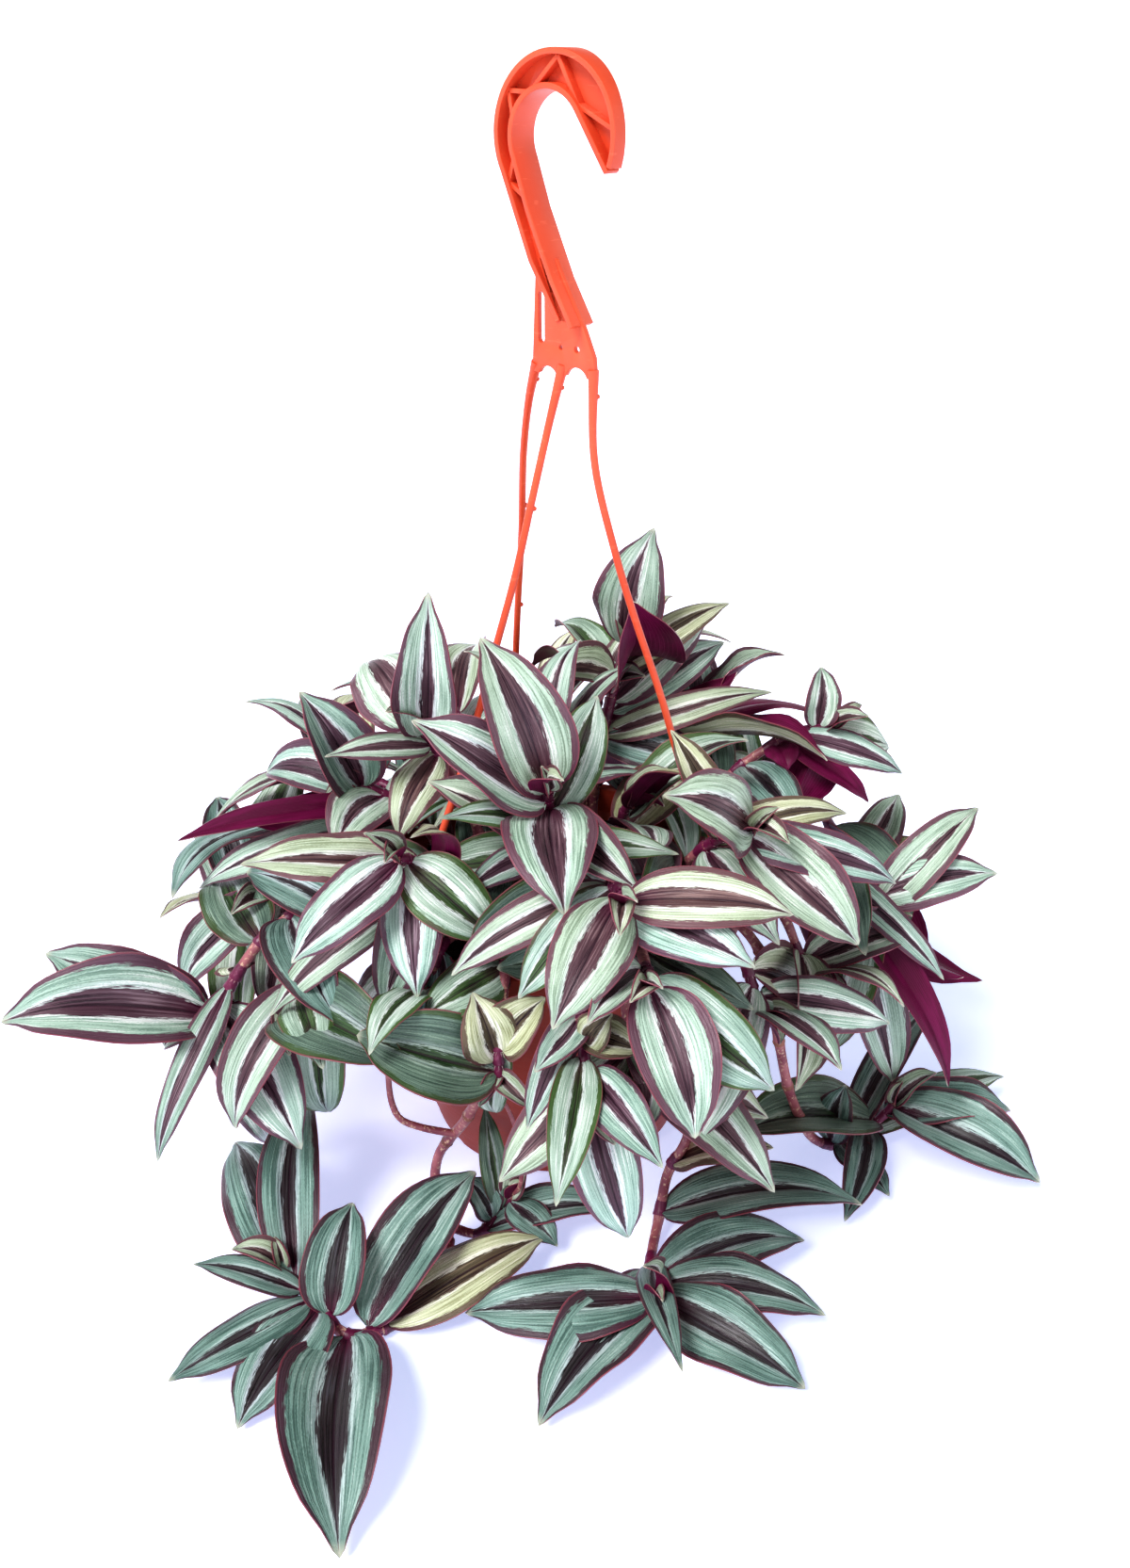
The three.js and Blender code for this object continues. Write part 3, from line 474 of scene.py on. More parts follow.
class Course:
    """A smooth course through points, walked by its length, as the solid stems are."""

    DIVISIONS = 200
    NUDGE = 0.0001

    def __init__(self, points: Sequence[Point]) -> None:
        """Measures the course.

        Args:
            points: The points that it goes through.
        """
        self.points = [np.array(point, float) for point in points]
        marks = [self.point(i / self.DIVISIONS) for i in range(self.DIVISIONS + 1)]
        steps = [float(np.linalg.norm(b - a)) for a, b in zip(marks, marks[1:])]
        self.lengths = np.concatenate([[0.0], np.cumsum(steps)])

    @property
    def length(self) -> float:
        """The length of the whole course."""
        return float(self.lengths[-1])

    def point(self, share: float) -> np.ndarray:
        """A point by its share of the spans.

        Args:
            share: From 0 at the first point to 1 at the last.

        Returns:
            The point.
        """
        last = len(self.points) - 1
        span = min(int(share * last), last - 1)
        weight = share * last - span
        p1, p2 = self.points[span], self.points[span + 1]
        p0 = self.points[span - 1] if span > 0 else 2 * p1 - p2
        p3 = self.points[span + 2] if span + 2 <= last else 2 * p2 - p1
        spans = ((p0, p1), (p1, p2), (p2, p3))
        before, across, after = (float(np.dot(b - a, b - a)) ** 0.25 for a, b in spans)
        leave = ((p1 - p0) / before - (p2 - p0) / (before + across) + (p2 - p1) / across) * across
        arrive = ((p2 - p1) / across - (p3 - p1) / (across + after) + (p3 - p2) / after) * across
        cubic = 2 * (p1 - p2) + leave + arrive
        square = 3 * (p2 - p1) - 2 * leave - arrive
        return p1 + weight * (leave + weight * (square + weight * cubic))

    def spans_share(self, share: float) -> float:
        """The share of the spans at a share of the length.

        Args:
            share: The share of the length.

        Returns:
            The share of the spans.
        """
        target = share * self.length
        i = min(int(np.searchsorted(self.lengths, target, side="right")) - 1, self.DIVISIONS - 1)
        part = (target - self.lengths[i]) / (self.lengths[i + 1] - self.lengths[i])
        return float((i + part) / self.DIVISIONS)

    def at(self, share: float) -> np.ndarray:
        """The point at a share of the length."""
        return self.point(self.spans_share(share))

    def heading(self, share: float) -> np.ndarray:
        """The direction of the course.

        Args:
            share: The share of the length.

        Returns:
            The direction, of length one.
        """
        middle = self.spans_share(share)
        before, after = max(0.0, middle - self.NUDGE), min(1.0, middle + self.NUDGE)
        return unit(self.point(after) - self.point(before))

    def rod_point(self, share: float) -> np.ndarray:
        """A point in the solid stem's rod, which is straight from one step to the next.

        Args:
            share: The share of the length.

        Returns:
            The point.
        """
        steps = math.ceil(self.length / ROD_STEP)
        step = min(int(share * steps), steps - 1)
        start, end = self.at(step / steps), self.at((step + 1) / steps)
        return start + (end - start) * (share * steps - step)


@dataclass(frozen=True)
class Blade:
    """A leaf in its place on its stem."""

    base: np.ndarray
    tip: np.ndarray
    width: float
    roll: float
    light: np.ndarray
    look: LeafLook
    share: float
    over: bool = False

    def swung(self, yaw: float, pitch: float, size: float) -> np.ndarray:
        """The tip after a turn about the base.

        Args:
            yaw: Degrees about the vertical.
            pitch: Degrees up.
            size: The share of the length that is kept.

        Returns:
            The tip's new place.
        """
        chord = (self.tip - self.base) * size
        level = unit(np.array([chord[1], -chord[0], 0.0]))
        return self.base + turned(turned(chord, level, pitch), np.array([0.0, 0.0, 1.0]), yaw)

    def settled(self, corners: kdtree.KDTree) -> "Blade | None":
        """The leaf where its solid stands.

        Args:
            corners: The corners of the stem's solid.

        Returns:
            The leaf with the tip that is a corner of the solid, or None where the solid has no such leaf.
        """
        for turn in LEAF_TURNS:
            tip = self.swung(*turn)
            if corners.find(Vector(tip * MM))[2] < SAME_POINT:
                return replace(self, tip=tip)
        return None


def leaf_turns() -> list[tuple[float, float, float]]:
    """The turns that a leaf may have taken to be clear of its neighbours.

    Returns:
        The yaw and the pitch in degrees, and the share of the length that is kept, of each.
    """
    turns = [(0.0, 0.0, 1.0)]
    for size in SIZES:
        for swing in SWINGS:
            for i in range(SWING_HEADINGS):
                heading = 2 * math.pi * i / SWING_HEADINGS
                turns.append((swing * math.cos(heading), swing * math.sin(heading), size))
    return turns


LEAF_TURNS = leaf_turns()


@dataclass(frozen=True)
class Shoot:
    """A stem's course, or a branch's, with the leaves on it."""

    course: Course
    leaves: list[Leaf]
    light: Light
    twigs: tuple[Twig, ...] = ()

    def blades(self) -> list[Blade]:
        """The leaves in their planned places.

        Returns:
            The leaves, from the youngest down.
        """
        head, length = self.course.at(1), self.course.length
        light = direction(self.light.azimuth, self.light.elevation)
        made = []
        for i, leaf in enumerate(self.leaves):
            back = leaf.back if leaf.back is not None else LEAF_SPACING * (i + 0.5)
            share = 1 - back / length
            root, along = self.course.rod_point(share), self.course.heading(share)
            tip = head + leaf.tip
            outward = tip - root
            outward = outward - along * np.dot(outward, along)
            base = root + unit(outward) * OFF_AXIS
            made.append(Blade(base, tip, leaf.width, leaf.roll, light, leaf.look, share, leaf.over))
        return made


class Planting:
    """Works out every stem of the plant, in the order in which the solids were grown."""

    TURN, TURN_STEP, TURN_SPREAD = 20, 18, 12
    SIZE, SIZE_STEP, LARGEST = 44, 5, 66
    SIZE_SPREAD = (0.92, 1.08)
    DROP, DROP_SPREAD = 16, 9
    BEND, SHOULDER, OVER_RIM, LIFT = 0.12, 0.65, 10, 8
    OLDER_FIRST, OLDER_SPACING, OLDER_LOWEST = 44, 15, 12
    OLDER_TURN, OLDER_SIZE, OLDER_TILT = (50, 95), (46, 62), (-34, 6)
    RULE_LOOKS = (SILVER, SILVER, BLUSH, GREEN, DEEP, SILVER, CREAM)
    OLDER_LOOKS = (OLD, GREEN, OLD, DEEP)

    def __init__(self) -> None:
        """Starts the row of numbers that the plan draws from, and another for the looks."""
        self.drawer = Drawer(SEED)
        self.looks = random.Random(SEED)

    def by_rule(self, stem: RuleStem) -> Stem:
        """A stem that rises out of its hole and leans out to its head.

        Args:
            stem: Its direction and sizes.

        Returns:
            The stem with its route and leaves.
        """
        out = direction(stem.azimuth, 0)

        def at(share: float, z: float) -> tuple[float, float, float]:
            """The point at a share of the reach, at a height."""
            radius = stem.hole + share * (stem.reach - stem.hole)
            return (out[0] * radius, out[1] * radius, z)

        shoulder = max(stem.height, POT_HEIGHT + self.OVER_RIM)
        bend = 0.5 * (SOIL_TOP + shoulder) + self.LIFT
        route = (at(0, 0)[:2], at(self.BEND, bend), at(self.SHOULDER, shoulder), at(1, stem.height))
        leaves = []
        for i in range(stem.leaves):
            spread = self.drawer.between(-self.TURN_SPREAD, self.TURN_SPREAD)
            turn = (1 if i % 2 else -1) * (self.TURN + self.TURN_STEP * i) + spread
            size = min(self.LARGEST, self.SIZE + self.SIZE_STEP * i) * self.drawer.between(*self.SIZE_SPREAD)
            elevation = stem.rise - self.DROP * i + self.drawer.between(-self.DROP_SPREAD, self.DROP_SPREAD)
            tip = direction(stem.azimuth + turn, elevation) * size
            look = self.looks.choice(self.RULE_LOOKS)
            if i not in stem.without:
                leaves.append(Leaf(*tip, SLIMNESS * size, look, over=i in stem.over))
        return Stem(stem.name, route, Light(stem.azimuth, stem.light), stem.older, tuple(leaves))

    def older_leaves(self, course: Course, count: int) -> list[Leaf]:
        """The leaves further down a stem, which hang out to either side of it in turn.

        Args:
            course: The stem's course.
            count: How many leaves there may be.

        Returns:
            The leaves, from the youngest to the oldest.
        """
        leaves = []
        for i in range(count):
            back = self.OLDER_FIRST + self.OLDER_SPACING * i
            if back > course.length - STEM_DEPTH - self.OLDER_LOWEST:
                break
            share = 1 - back / course.length
            along = course.heading(share)
            heading = math.degrees(math.atan2(along[1], along[0]))
            turn = (1 if i % 2 else -1) * self.drawer.between(*self.OLDER_TURN)
            size = self.drawer.between(*self.OLDER_SIZE)
            reach = direction(heading + turn, self.drawer.between(*self.OLDER_TILT)) * size
            tip = course.at(share) - course.at(1) + reach
            leaves.append(Leaf(*tip, SLIMNESS * size, self.looks.choice(self.OLDER_LOOKS), back=back))
        return leaves

    def shoots(self) -> dict[str, list[Shoot]]:
        """Every stem with its branch, where it has one.

        Returns:
            The stem's shoots, by the stem's name.
        """
        stems = [*STEMS, *(self.by_rule(stem) for stem in RULE_STEMS)]
        grown = {}
        for stem in stems:
            hole = stem.route[0]
            heights = (-STEM_DEPTH, -STEM_STRAIGHT, STEM_STRAIGHT)
            straight = [(*hole, SOIL_TOP + height) for height in heights]
            course = Course([*straight, *stem.route[1:]])
            leaves = [*stem.leaves, *self.older_leaves(course, stem.older)]
            grown[stem.name] = [Shoot(course, leaves, stem.facing, stem.twigs)]
            if stem.branch:
                grown[stem.name].append(Shoot(Course(stem.branch), list(stem.branch_leaves), stem.facing))
        return grown


# Finishes


def paint(code: str) -> tuple[float, float, float, float]:
    """A colour from its usual six-figure code.

    Args:
        code: Red, green and blue as on a screen, such as "bfe3cc".

    Returns:
        The colour as light, with an alpha of one.
    """
    shown = [int(code[i : i + 2], 16) / 255 for i in (0, 2, 4)]
    red, green, blue = (c / 12.92 if c <= 0.04045 else ((c + 0.055) / 1.055) ** 2.4 for c in shown)
    return (red, green, blue, 1.0)


class Shading:
    """The nodes of one material or sky. A method that adds a node gives back its output."""

    LOW_TONES = (0.3, 0.47)
    HIGH_TONES = (0.53, 0.7)
    MIX_COLOURS = (6, 7)
    MIX_OUTPUT = 2

    def __init__(self, name: str, family: str = "materials", shader: str = "Principled BSDF") -> None:
        """Starts a material, or a sky, with one shader.

        Args:
            name: Its name.
            family: "materials", or "worlds" for a sky.
            shader: The shader's name.
        """
        self.owner = getattr(bpy.data, family).new(name)
        self.owner.use_nodes = True
        self.tree = self.owner.node_tree
        self.shader = self.tree.nodes[shader]

    def feed(self, socket: NodeSocket, value: object) -> None:
        """Links an output to a socket, or sets the socket to a plain value.

        Args:
            socket: The socket.
            value: An output, a colour's code, or a plain number or direction.
        """
        if isinstance(value, NodeSocket):
            self.tree.links.new(value, socket)
        else:
            socket.default_value = paint(value) if isinstance(value, str) else value

    def surface(self, **values: object) -> None:
        """Sets the shader's own sockets, by their names with _ for a space."""
        for name, value in values.items():
            self.feed(self.shader.inputs[name.replace("_", " ").title().replace("Ior", "IOR")], value)

    def node(self, kind: str, *values: object, **named: object) -> bpy.types.Node:
        """Adds a node.

        Args:
            kind: Its kind, such as "Math".
            *values: What goes into its first sockets, in their order.
            **named: What goes into other sockets, by their names, and the node's own settings.

        Returns:
            The node.
        """
        node = self.tree.nodes.new("ShaderNode" + kind)
        for name, value in named.items():
            if name in node.inputs:
                self.feed(node.inputs[name], value)
            else:
                setattr(node, name, value)
        for socket, value in zip(node.inputs, values):
            self.feed(socket, value)
        return node

    def math(self, operation: str, *values: object) -> Output:
        """The result of an operation, such as "MULTIPLY", on outputs or numbers."""
        return self.node("Math", *values, operation=operation).outputs[0]

    def plus(self, first: object, second: object) -> Output:
        """The sum of two values."""
        return self.math("ADD", first, second)

    def times(self, first: object, second: object) -> Output:
        """The product of two values."""
        return self.math("MULTIPLY", first, second)

    def scaled(self, value: object, factor: object, offset: object) -> Output:
        """A value times a factor, plus an offset."""
        return self.math("MULTIPLY_ADD", value, factor, offset)

    def swing(self, value: object, width: float) -> Output:
        """Spreads a value of 0 to 1 evenly to both sides of 0, over a width."""
        return self.scaled(value, width, -width / 2)

    def between(self, value: object, low: float, high: float) -> Output:
        """Spreads a value of 0 to 1 evenly over low to high."""
        return self.scaled(value, high - low, low)

    def ease(self, value: object, low: object, high: object) -> Output:
        """Goes smoothly from 0 to 1 as a value goes from low to high, or down to high."""
        return self.node("MapRange", value, low, high, interpolation_type="SMOOTHSTEP").outputs[0]

    def mix(self, share: object, first: object, second: object) -> Output:
        """Mixes two colours.

        Args:
            share: How much of the second there is.
            first: A colour or an output.
            second: A colour or an output.

        Returns:
            The mixed colour.
        """
        node = self.node("Mix", share, data_type="RGBA")
        for index, colour in zip(self.MIX_COLOURS, (first, second)):
            self.feed(node.inputs[index], colour)
        return node.outputs[self.MIX_OUTPUT]

    def tones(self, value: object, dark: object, plain: object, light: object) -> Output:
        """Mixes three tones by a noise: dark where it is low, light where it is high."""
        low = self.mix(self.ease(value, *self.LOW_TONES), dark, plain)
        return self.mix(self.ease(value, *self.HIGH_TONES), low, light)

    def object_place(self) -> Output:
        """The place on the object, in metres."""
        return self.node("TexCoord").outputs["Object"]

    def noise(self, place: object, scale: float, detail: float = 3.0) -> Output:
        """Soft noise from 0 to 1, finer with more detail."""
        return self.node("TexNoise", place, Scale=scale, Detail=detail).outputs[0]

    def bump(self, height: object, depth: float, share: float = 1.0) -> None:
        """Gives the shader a relief of a depth in millimetres, of which a share shows."""
        node = self.node("Bump", Height=height, Distance=depth * MM, Strength=share)
        self.feed(self.shader.inputs["Normal"], node.outputs[0])


class Chance(Enum):
    """What differs from leaf to leaf, each with the factor that its chance is drawn by."""

    MIDDLE = 13.7
    MARGIN = 29.3
    LILAC = 47.9
    CREAM = 61.3
    TONE = 83.1


@dataclass(frozen=True)
class Grain:
    """A noise on a leaf: how often it changes over the width and over the length, and how fine it is."""

    across: float
    along: float
    detail: float = 3.0


class LeafPlace:
    """Where a shader is on a leaf: across it and along it, and what look the leaf has."""

    VEINS = 11
    VEIN_EDGES = (0.55, 0.98)
    SEED_SPREAD = 97.0
    CREAM_SPREAD = 0.35
    DEEP_AGE = 0.55

    def __init__(self, nodes: Shading) -> None:
        """Reads the leaf's own map and its look.

        Args:
            nodes: The material's nodes.
        """
        self.nodes = nodes
        self.noises: dict[Grain, Output] = {}
        leaf_map = nodes.node("UVMap", uv_map="leaf")
        split = nodes.node("SeparateXYZ", leaf_map.outputs[0])
        self.u, self.along = split.outputs[0], split.outputs[1]
        self.across = nodes.math("ABSOLUTE", nodes.swing(self.u, 2.0))
        look = nodes.node("Attribute", attribute_name="look")
        parts = nodes.node("SeparateColor", look.outputs["Color"])
        self.seed = look.outputs["Alpha"]
        self.green, self.age = parts.outputs[0], parts.outputs[2]
        self.cream = nodes.scaled(self.chance(Chance.CREAM), self.CREAM_SPREAD, parts.outputs[1])

    def chance(self, what: Chance) -> Output:
        """A number from 0 to 1 that differs from leaf to leaf."""
        return self.nodes.math("FRACT", self.nodes.times(self.seed, what.value))

    def noise(self, grain: Grain) -> Output:
        """Noise that differs from leaf to leaf, made once for each grain.

        Args:
            grain: How fine it is.

        Returns:
            The noise.
        """
        if grain not in self.noises:
            stretches = ((self.u, grain.across), (self.along, grain.along), (self.seed, self.SEED_SPREAD))
            place = [self.nodes.times(way, factor) for way, factor in stretches]
            joined = self.nodes.node("CombineXYZ", *place)
            self.noises[grain] = self.nodes.noise(joined.outputs[0], 1.0, grain.detail)
        return self.noises[grain]

    def veins(self) -> Output:
        """The fine veins that run from base to tip: 1 in a vein and 0 beside it."""
        wave = self.nodes.math("SINE", self.nodes.times(self.across, self.VEINS * 2 * math.pi))
        return self.nodes.ease(wave, *self.VEIN_EDGES)

    def near_base(self, reach: float) -> Output:
        """1 at the base, down to 0 at a share of the length."""
        return self.nodes.ease(self.along, reach, 0.0)


@dataclass(frozen=True)
class Tone:
    """One tone of a leaf's face in each look: plain, cream, deep and old."""

    plain: str
    cream: str
    deep: str
    old: str

    def of(self, leaf: LeafPlace) -> Output:
        """The tone as a leaf shows it.

        Args:
            leaf: The leaf.

        Returns:
            The colour.
        """
        nodes = leaf.nodes
        young = nodes.mix(leaf.cream, self.plain, self.cream)
        grown = nodes.mix(nodes.ease(leaf.age, 0.0, leaf.DEEP_AGE), young, self.deep)
        return nodes.mix(nodes.ease(leaf.age, leaf.DEEP_AGE, 1.0), grown, self.old)


@dataclass(frozen=True)
class Mark:
    """A mark on a leaf: its colour, from where to where it fades in, and how much of it shows."""

    colour: str
    edges: Span
    share: float

    def over(self, nodes: Shading, place: Output, colour: Output) -> Output:
        """A colour with the mark on it."""
        return nodes.mix(nodes.times(nodes.ease(place, *self.edges), self.share), colour, self.colour)


@dataclass(frozen=True)
class LeafFace:
    """The upper face of a leaf: two silver bands on purple, with ragged edges and a dark rim.

    Places across the leaf go from 0 at the midrib to 1 at the rim, and along it from 0 at the base to 1.
    """

    band_shade: Tone = Tone("76968a", "a2a67e", "506c65", "485c52")
    band: Tone = Tone("aeccbf", "ced4b0", "7e9d94", "687f71")
    band_light: Tone = Tone("f3fdf8", "f6f5e2", "b4cdc6", "92a896")
    dark_shade: Tone = Tone("2b1824", "35202a", "1d141c", "1a1b1b")
    dark: Tone = Tone("583c4b", "634843", "3b2f39", "2e3331")
    dark_light: Tone = Tone("8b717f", "937668", "5b5361", "4b5451")
    margin: Tone = Tone("654556", "745251", "4a2c40", "3f2f3a")
    green_margin: str = "456a33"
    green_shade: str = "2a4423"
    green: str = "4a6b3c"
    lilac: str = "dcd6ee"
    wine: Mark = Mark("5a1339", (0.38, 0.0), 0.8)
    midrib: Mark = Mark("2c1524", (0.04, 0.012), 0.75)
    rim: Mark = Mark("8d4653", (0.955, 0.99), 0.8)
    point: Mark = Mark("ecebd6", (0.9, 0.985), 0.65)
    streaks: Grain = Grain(38.0, 3.2, 5.0)
    clouds: Grain = Grain(2.6, 3.4, 2.0)
    fine: Grain = Grain(150.0, 110.0, 2.0)
    feathers: Grain = Grain(64.0, 10.0, 4.0)
    specks: Grain = Grain(120.0, 26.0)
    line_patches: Grain = Grain(14.0, 3.0)
    feathering: float = 0.2
    waviness: float = 0.22
    speckling: float = 0.2
    middle: float = 0.185
    middle_spread: float = 0.17
    middle_at_base: float = -0.06
    middle_base_reach: float = 0.3
    middle_when_old: float = -0.1
    middle_narrows_from: float = 0.5
    middle_at_tip: float = -0.2
    margin_from: float = 0.72
    margin_spread: float = 0.12
    margin_when_old: float = 0.08
    margin_at_base: float = -0.1
    margin_base_reach: float = 0.15
    softness: float = 0.022
    pale_width: float = 0.2
    pale_share: float = 0.22
    band_grain: float = 0.35
    band_offset: float = -0.22
    band_clouds: float = 0.5
    band_chance: float = 0.16
    lilac_share: float = 0.4
    line_edges: Span = (0.45, 0.62)
    line_share: float = 0.6
    dark_clouds: float = 0.4
    green_tones: Span = (0.4, 0.6)
    green_clouds: Span = (0.2, 0.5)
    margin_edges: Span = (0.55, 0.75)
    roughness: Span = (0.16, 0.46)
    ior: float = 1.45
    vein_dip: float = 0.5
    grain_height: float = 0.35
    relief: float = 0.5
    relief_share: float = 0.75

    def material(self) -> Material:
        """Builds the material.

        Returns:
            The material.
        """
        nodes = Shading("leaf_face")
        leaf = LeafPlace(nodes)
        across = nodes.plus(leaf.across, nodes.swing(leaf.noise(self.feathers), self.feathering))
        across = nodes.plus(across, nodes.swing(leaf.noise(self.clouds), self.waviness))
        across = nodes.plus(across, nodes.swing(leaf.noise(self.specks), self.speckling))
        bands, pale = self._bands(leaf, across)
        colour = nodes.mix(bands, self._dark(leaf), self._light(leaf, pale))
        for mark, place in ((self.midrib, leaf.across), (self.rim, leaf.across), (self.point, leaf.along)):
            colour = mark.over(nodes, place, colour)
        rough = nodes.between(leaf.noise(self.streaks), *self.roughness)
        nodes.surface(base_color=colour, roughness=rough, ior=self.ior)
        quilt = nodes.scaled(leaf.veins(), -self.vein_dip, leaf.noise(self.streaks))
        height = nodes.scaled(leaf.noise(self.fine), self.grain_height, quilt)
        nodes.bump(height, self.relief, self.relief_share)
        return nodes.owner

    def _bands(self, leaf: LeafPlace, across: Output) -> tuple[Output, Output]:
        """Tells the bands from the rest.

        Args:
            leaf: The leaf.
            across: The place across it, made ragged.

        Returns:
            What is 1 in a band and 0 outside it, and what is 1 at its inner edge and 0 further out.
        """
        nodes = leaf.nodes
        inner = nodes.scaled(leaf.chance(Chance.MIDDLE), self.middle_spread, self.middle)
        inner = nodes.scaled(leaf.near_base(self.middle_base_reach), self.middle_at_base, inner)
        inner = nodes.scaled(leaf.age, self.middle_when_old, inner)
        at_tip = nodes.ease(leaf.along, self.middle_narrows_from, 1.0)
        inner = nodes.scaled(at_tip, self.middle_at_tip, inner)
        outer = nodes.scaled(leaf.chance(Chance.MARGIN), self.margin_spread, self.margin_from)
        outer = nodes.scaled(leaf.age, self.margin_when_old, outer)
        outer = nodes.scaled(leaf.near_base(self.margin_base_reach), self.margin_at_base, outer)
        soft = self.softness
        past_inner = nodes.ease(across, nodes.plus(inner, -soft), nodes.plus(inner, soft))
        before_outer = nodes.ease(across, nodes.plus(outer, soft), nodes.plus(outer, -soft))
        pale = nodes.ease(across, nodes.plus(inner, self.pale_width), inner)
        return nodes.times(past_inner, before_outer), pale

    def _light(self, leaf: LeafPlace, pale: Output) -> Output:
        """The colour of the bands, which are palest along the dark middle.

        Args:
            leaf: The leaf.
            pale: 1 at the inner edge of a band, down to 0 further out.

        Returns:
            The colour.
        """
        nodes = leaf.nodes
        shade = self.band_shade.of(leaf)
        value = nodes.scaled(leaf.noise(self.fine), self.band_grain, self.band_offset)
        value = nodes.plus(leaf.noise(self.streaks), value)
        value = nodes.plus(value, nodes.swing(leaf.noise(self.clouds), self.band_clouds))
        value = nodes.plus(value, nodes.swing(leaf.chance(Chance.TONE), self.band_chance))
        value = nodes.scaled(pale, self.pale_share, value)
        colour = nodes.tones(value, shade, self.band.of(leaf), self.band_light.of(leaf))
        lilac = nodes.times(pale, nodes.times(leaf.chance(Chance.LILAC), self.lilac_share))
        colour = nodes.mix(lilac, colour, self.lilac)
        patches = nodes.ease(leaf.noise(self.line_patches), *self.line_edges)
        lines = nodes.times(leaf.veins(), patches)
        return nodes.mix(nodes.times(lines, self.line_share), colour, shade)

    def _dark(self, leaf: LeafPlace) -> Output:
        """The colour between the bands and outside them.

        Args:
            leaf: The leaf.

        Returns:
            The colour.
        """
        nodes = leaf.nodes
        value = nodes.plus(leaf.noise(self.streaks), nodes.swing(leaf.noise(self.clouds), self.dark_clouds))
        purple = nodes.tones(value, self.dark_shade.of(leaf), self.dark.of(leaf), self.dark_light.of(leaf))
        greener = nodes.ease(value, *self.green_tones)
        leafy = nodes.mix(greener, self.green_shade, self.green)
        outside = nodes.ease(leaf.across, *self.margin_edges)
        purple = nodes.mix(outside, purple, self.margin.of(leaf))
        leafy = nodes.mix(outside, leafy, self.green_margin)
        green = nodes.times(leaf.green, nodes.ease(leaf.noise(self.clouds), *self.green_clouds))
        return self.wine.over(nodes, leaf.along, nodes.mix(green, purple, leafy))


@dataclass(frozen=True)
class LeafUnderside:
    """The glossy purple underside of a leaf."""

    wine: str = "560732"
    bright: str = "6c0e43"
    dull: str = "42222f"
    vein: str = "86305c"
    clouds: Grain = Grain(5.0, 5.0)
    fine: Grain = Grain(60.0, 50.0)
    bright_edges: Span = (0.35, 0.7)
    dull_ages: Span = (0.5, 1.2)
    vein_share: float = 0.22
    roughness: Span = (0.34, 0.5)
    ior: float = 1.3
    relief: float = 0.15
    relief_share: float = 0.5

    def material(self) -> Material:
        """Builds the material.

        Returns:
            The material.
        """
        nodes = Shading("leaf_underside")
        leaf = LeafPlace(nodes)
        clouds = leaf.noise(self.clouds)
        colour = nodes.mix(nodes.ease(clouds, *self.bright_edges), self.wine, self.bright)
        colour = nodes.mix(nodes.ease(leaf.age, *self.dull_ages), colour, self.dull)
        colour = nodes.mix(nodes.times(leaf.veins(), self.vein_share), colour, self.vein)
        rough = nodes.between(clouds, *self.roughness)
        nodes.surface(base_color=colour, roughness=rough, ior=self.ior)
        nodes.bump(nodes.plus(leaf.veins(), leaf.noise(self.fine)), self.relief, self.relief_share)
        return nodes.owner


@dataclass(frozen=True)
class StemSkin:
    """The skin of a stem: a base colour, flecks on it, and how glossy it is."""

    name: str
    base: str
    shade: str
    fleck: str
    flecks: float = 0.5
    roughness: float = 0.45
    cloud_scale: float = 90.0
    cloud_edges: Span = (0.35, 0.68)
    fleck_scale: float = 700.0
    fleck_detail: float = 2.0
    fleck_edges: Span = (0.55, 0.7)
    relief: float = 0.3
    relief_share: float = 0.6

    def material(self) -> Material:
        """Builds the material.

        Returns:
            The material.
        """
        nodes = Shading(self.name)
        place = nodes.object_place()
        clouds = nodes.noise(place, self.cloud_scale)
        spots = nodes.noise(place, self.fleck_scale, self.fleck_detail)
        colour = nodes.mix(nodes.ease(clouds, *self.cloud_edges), self.base, self.shade)
        flecks = nodes.times(nodes.ease(spots, *self.fleck_edges), self.flecks)
        colour = nodes.mix(flecks, colour, self.fleck)
        nodes.surface(base_color=colour, roughness=self.roughness)
        nodes.bump(nodes.plus(clouds, spots), self.relief, self.relief_share)
        return nodes.owner


@dataclass(frozen=True)
class MouldedPlastic:
    """Plastic as it comes out of a mould, with a fine grain and faint rubbed places."""

    name: str
    base: str
    shade: str
    rubbed: str
    roughness: Span
    grain: float
    ior: float = 1.46
    cloud_scale: float = 22.0
    cloud_edges: Span = (0.3, 0.7)
    grain_scale: float = 1500.0
    grain_detail: float = 2.0
    grain_share: float = 0.4
    scuff_stretch: Point = (1.0, 1.0, 6.0)
    scuff_scale: float = 120.0
    scuff_detail: float = 5.0
    scuff_edges: Span = (0.6, 0.72)
    scuff_share: float = 0.3

    def material(self) -> Material:
        """Builds the material.

        Returns:
            The material.
        """
        nodes = Shading(self.name)
        place = nodes.object_place()
        clouds = nodes.noise(place, self.cloud_scale)
        fine = nodes.noise(place, self.grain_scale, self.grain_detail)
        stretched = nodes.node("Mapping", place, Scale=self.scuff_stretch)
        scuffs = nodes.noise(stretched.outputs[0], self.scuff_scale, self.scuff_detail)
        colour = nodes.mix(nodes.ease(clouds, *self.cloud_edges), self.base, self.shade)
        rubs = nodes.times(nodes.ease(scuffs, *self.scuff_edges), self.scuff_share)
        colour = nodes.mix(rubs, colour, self.rubbed)
        rough = nodes.between(scuffs, *self.roughness)
        nodes.surface(base_color=colour, roughness=rough, ior=self.ior)
        nodes.bump(fine, self.grain, self.grain_share)
        return nodes.owner


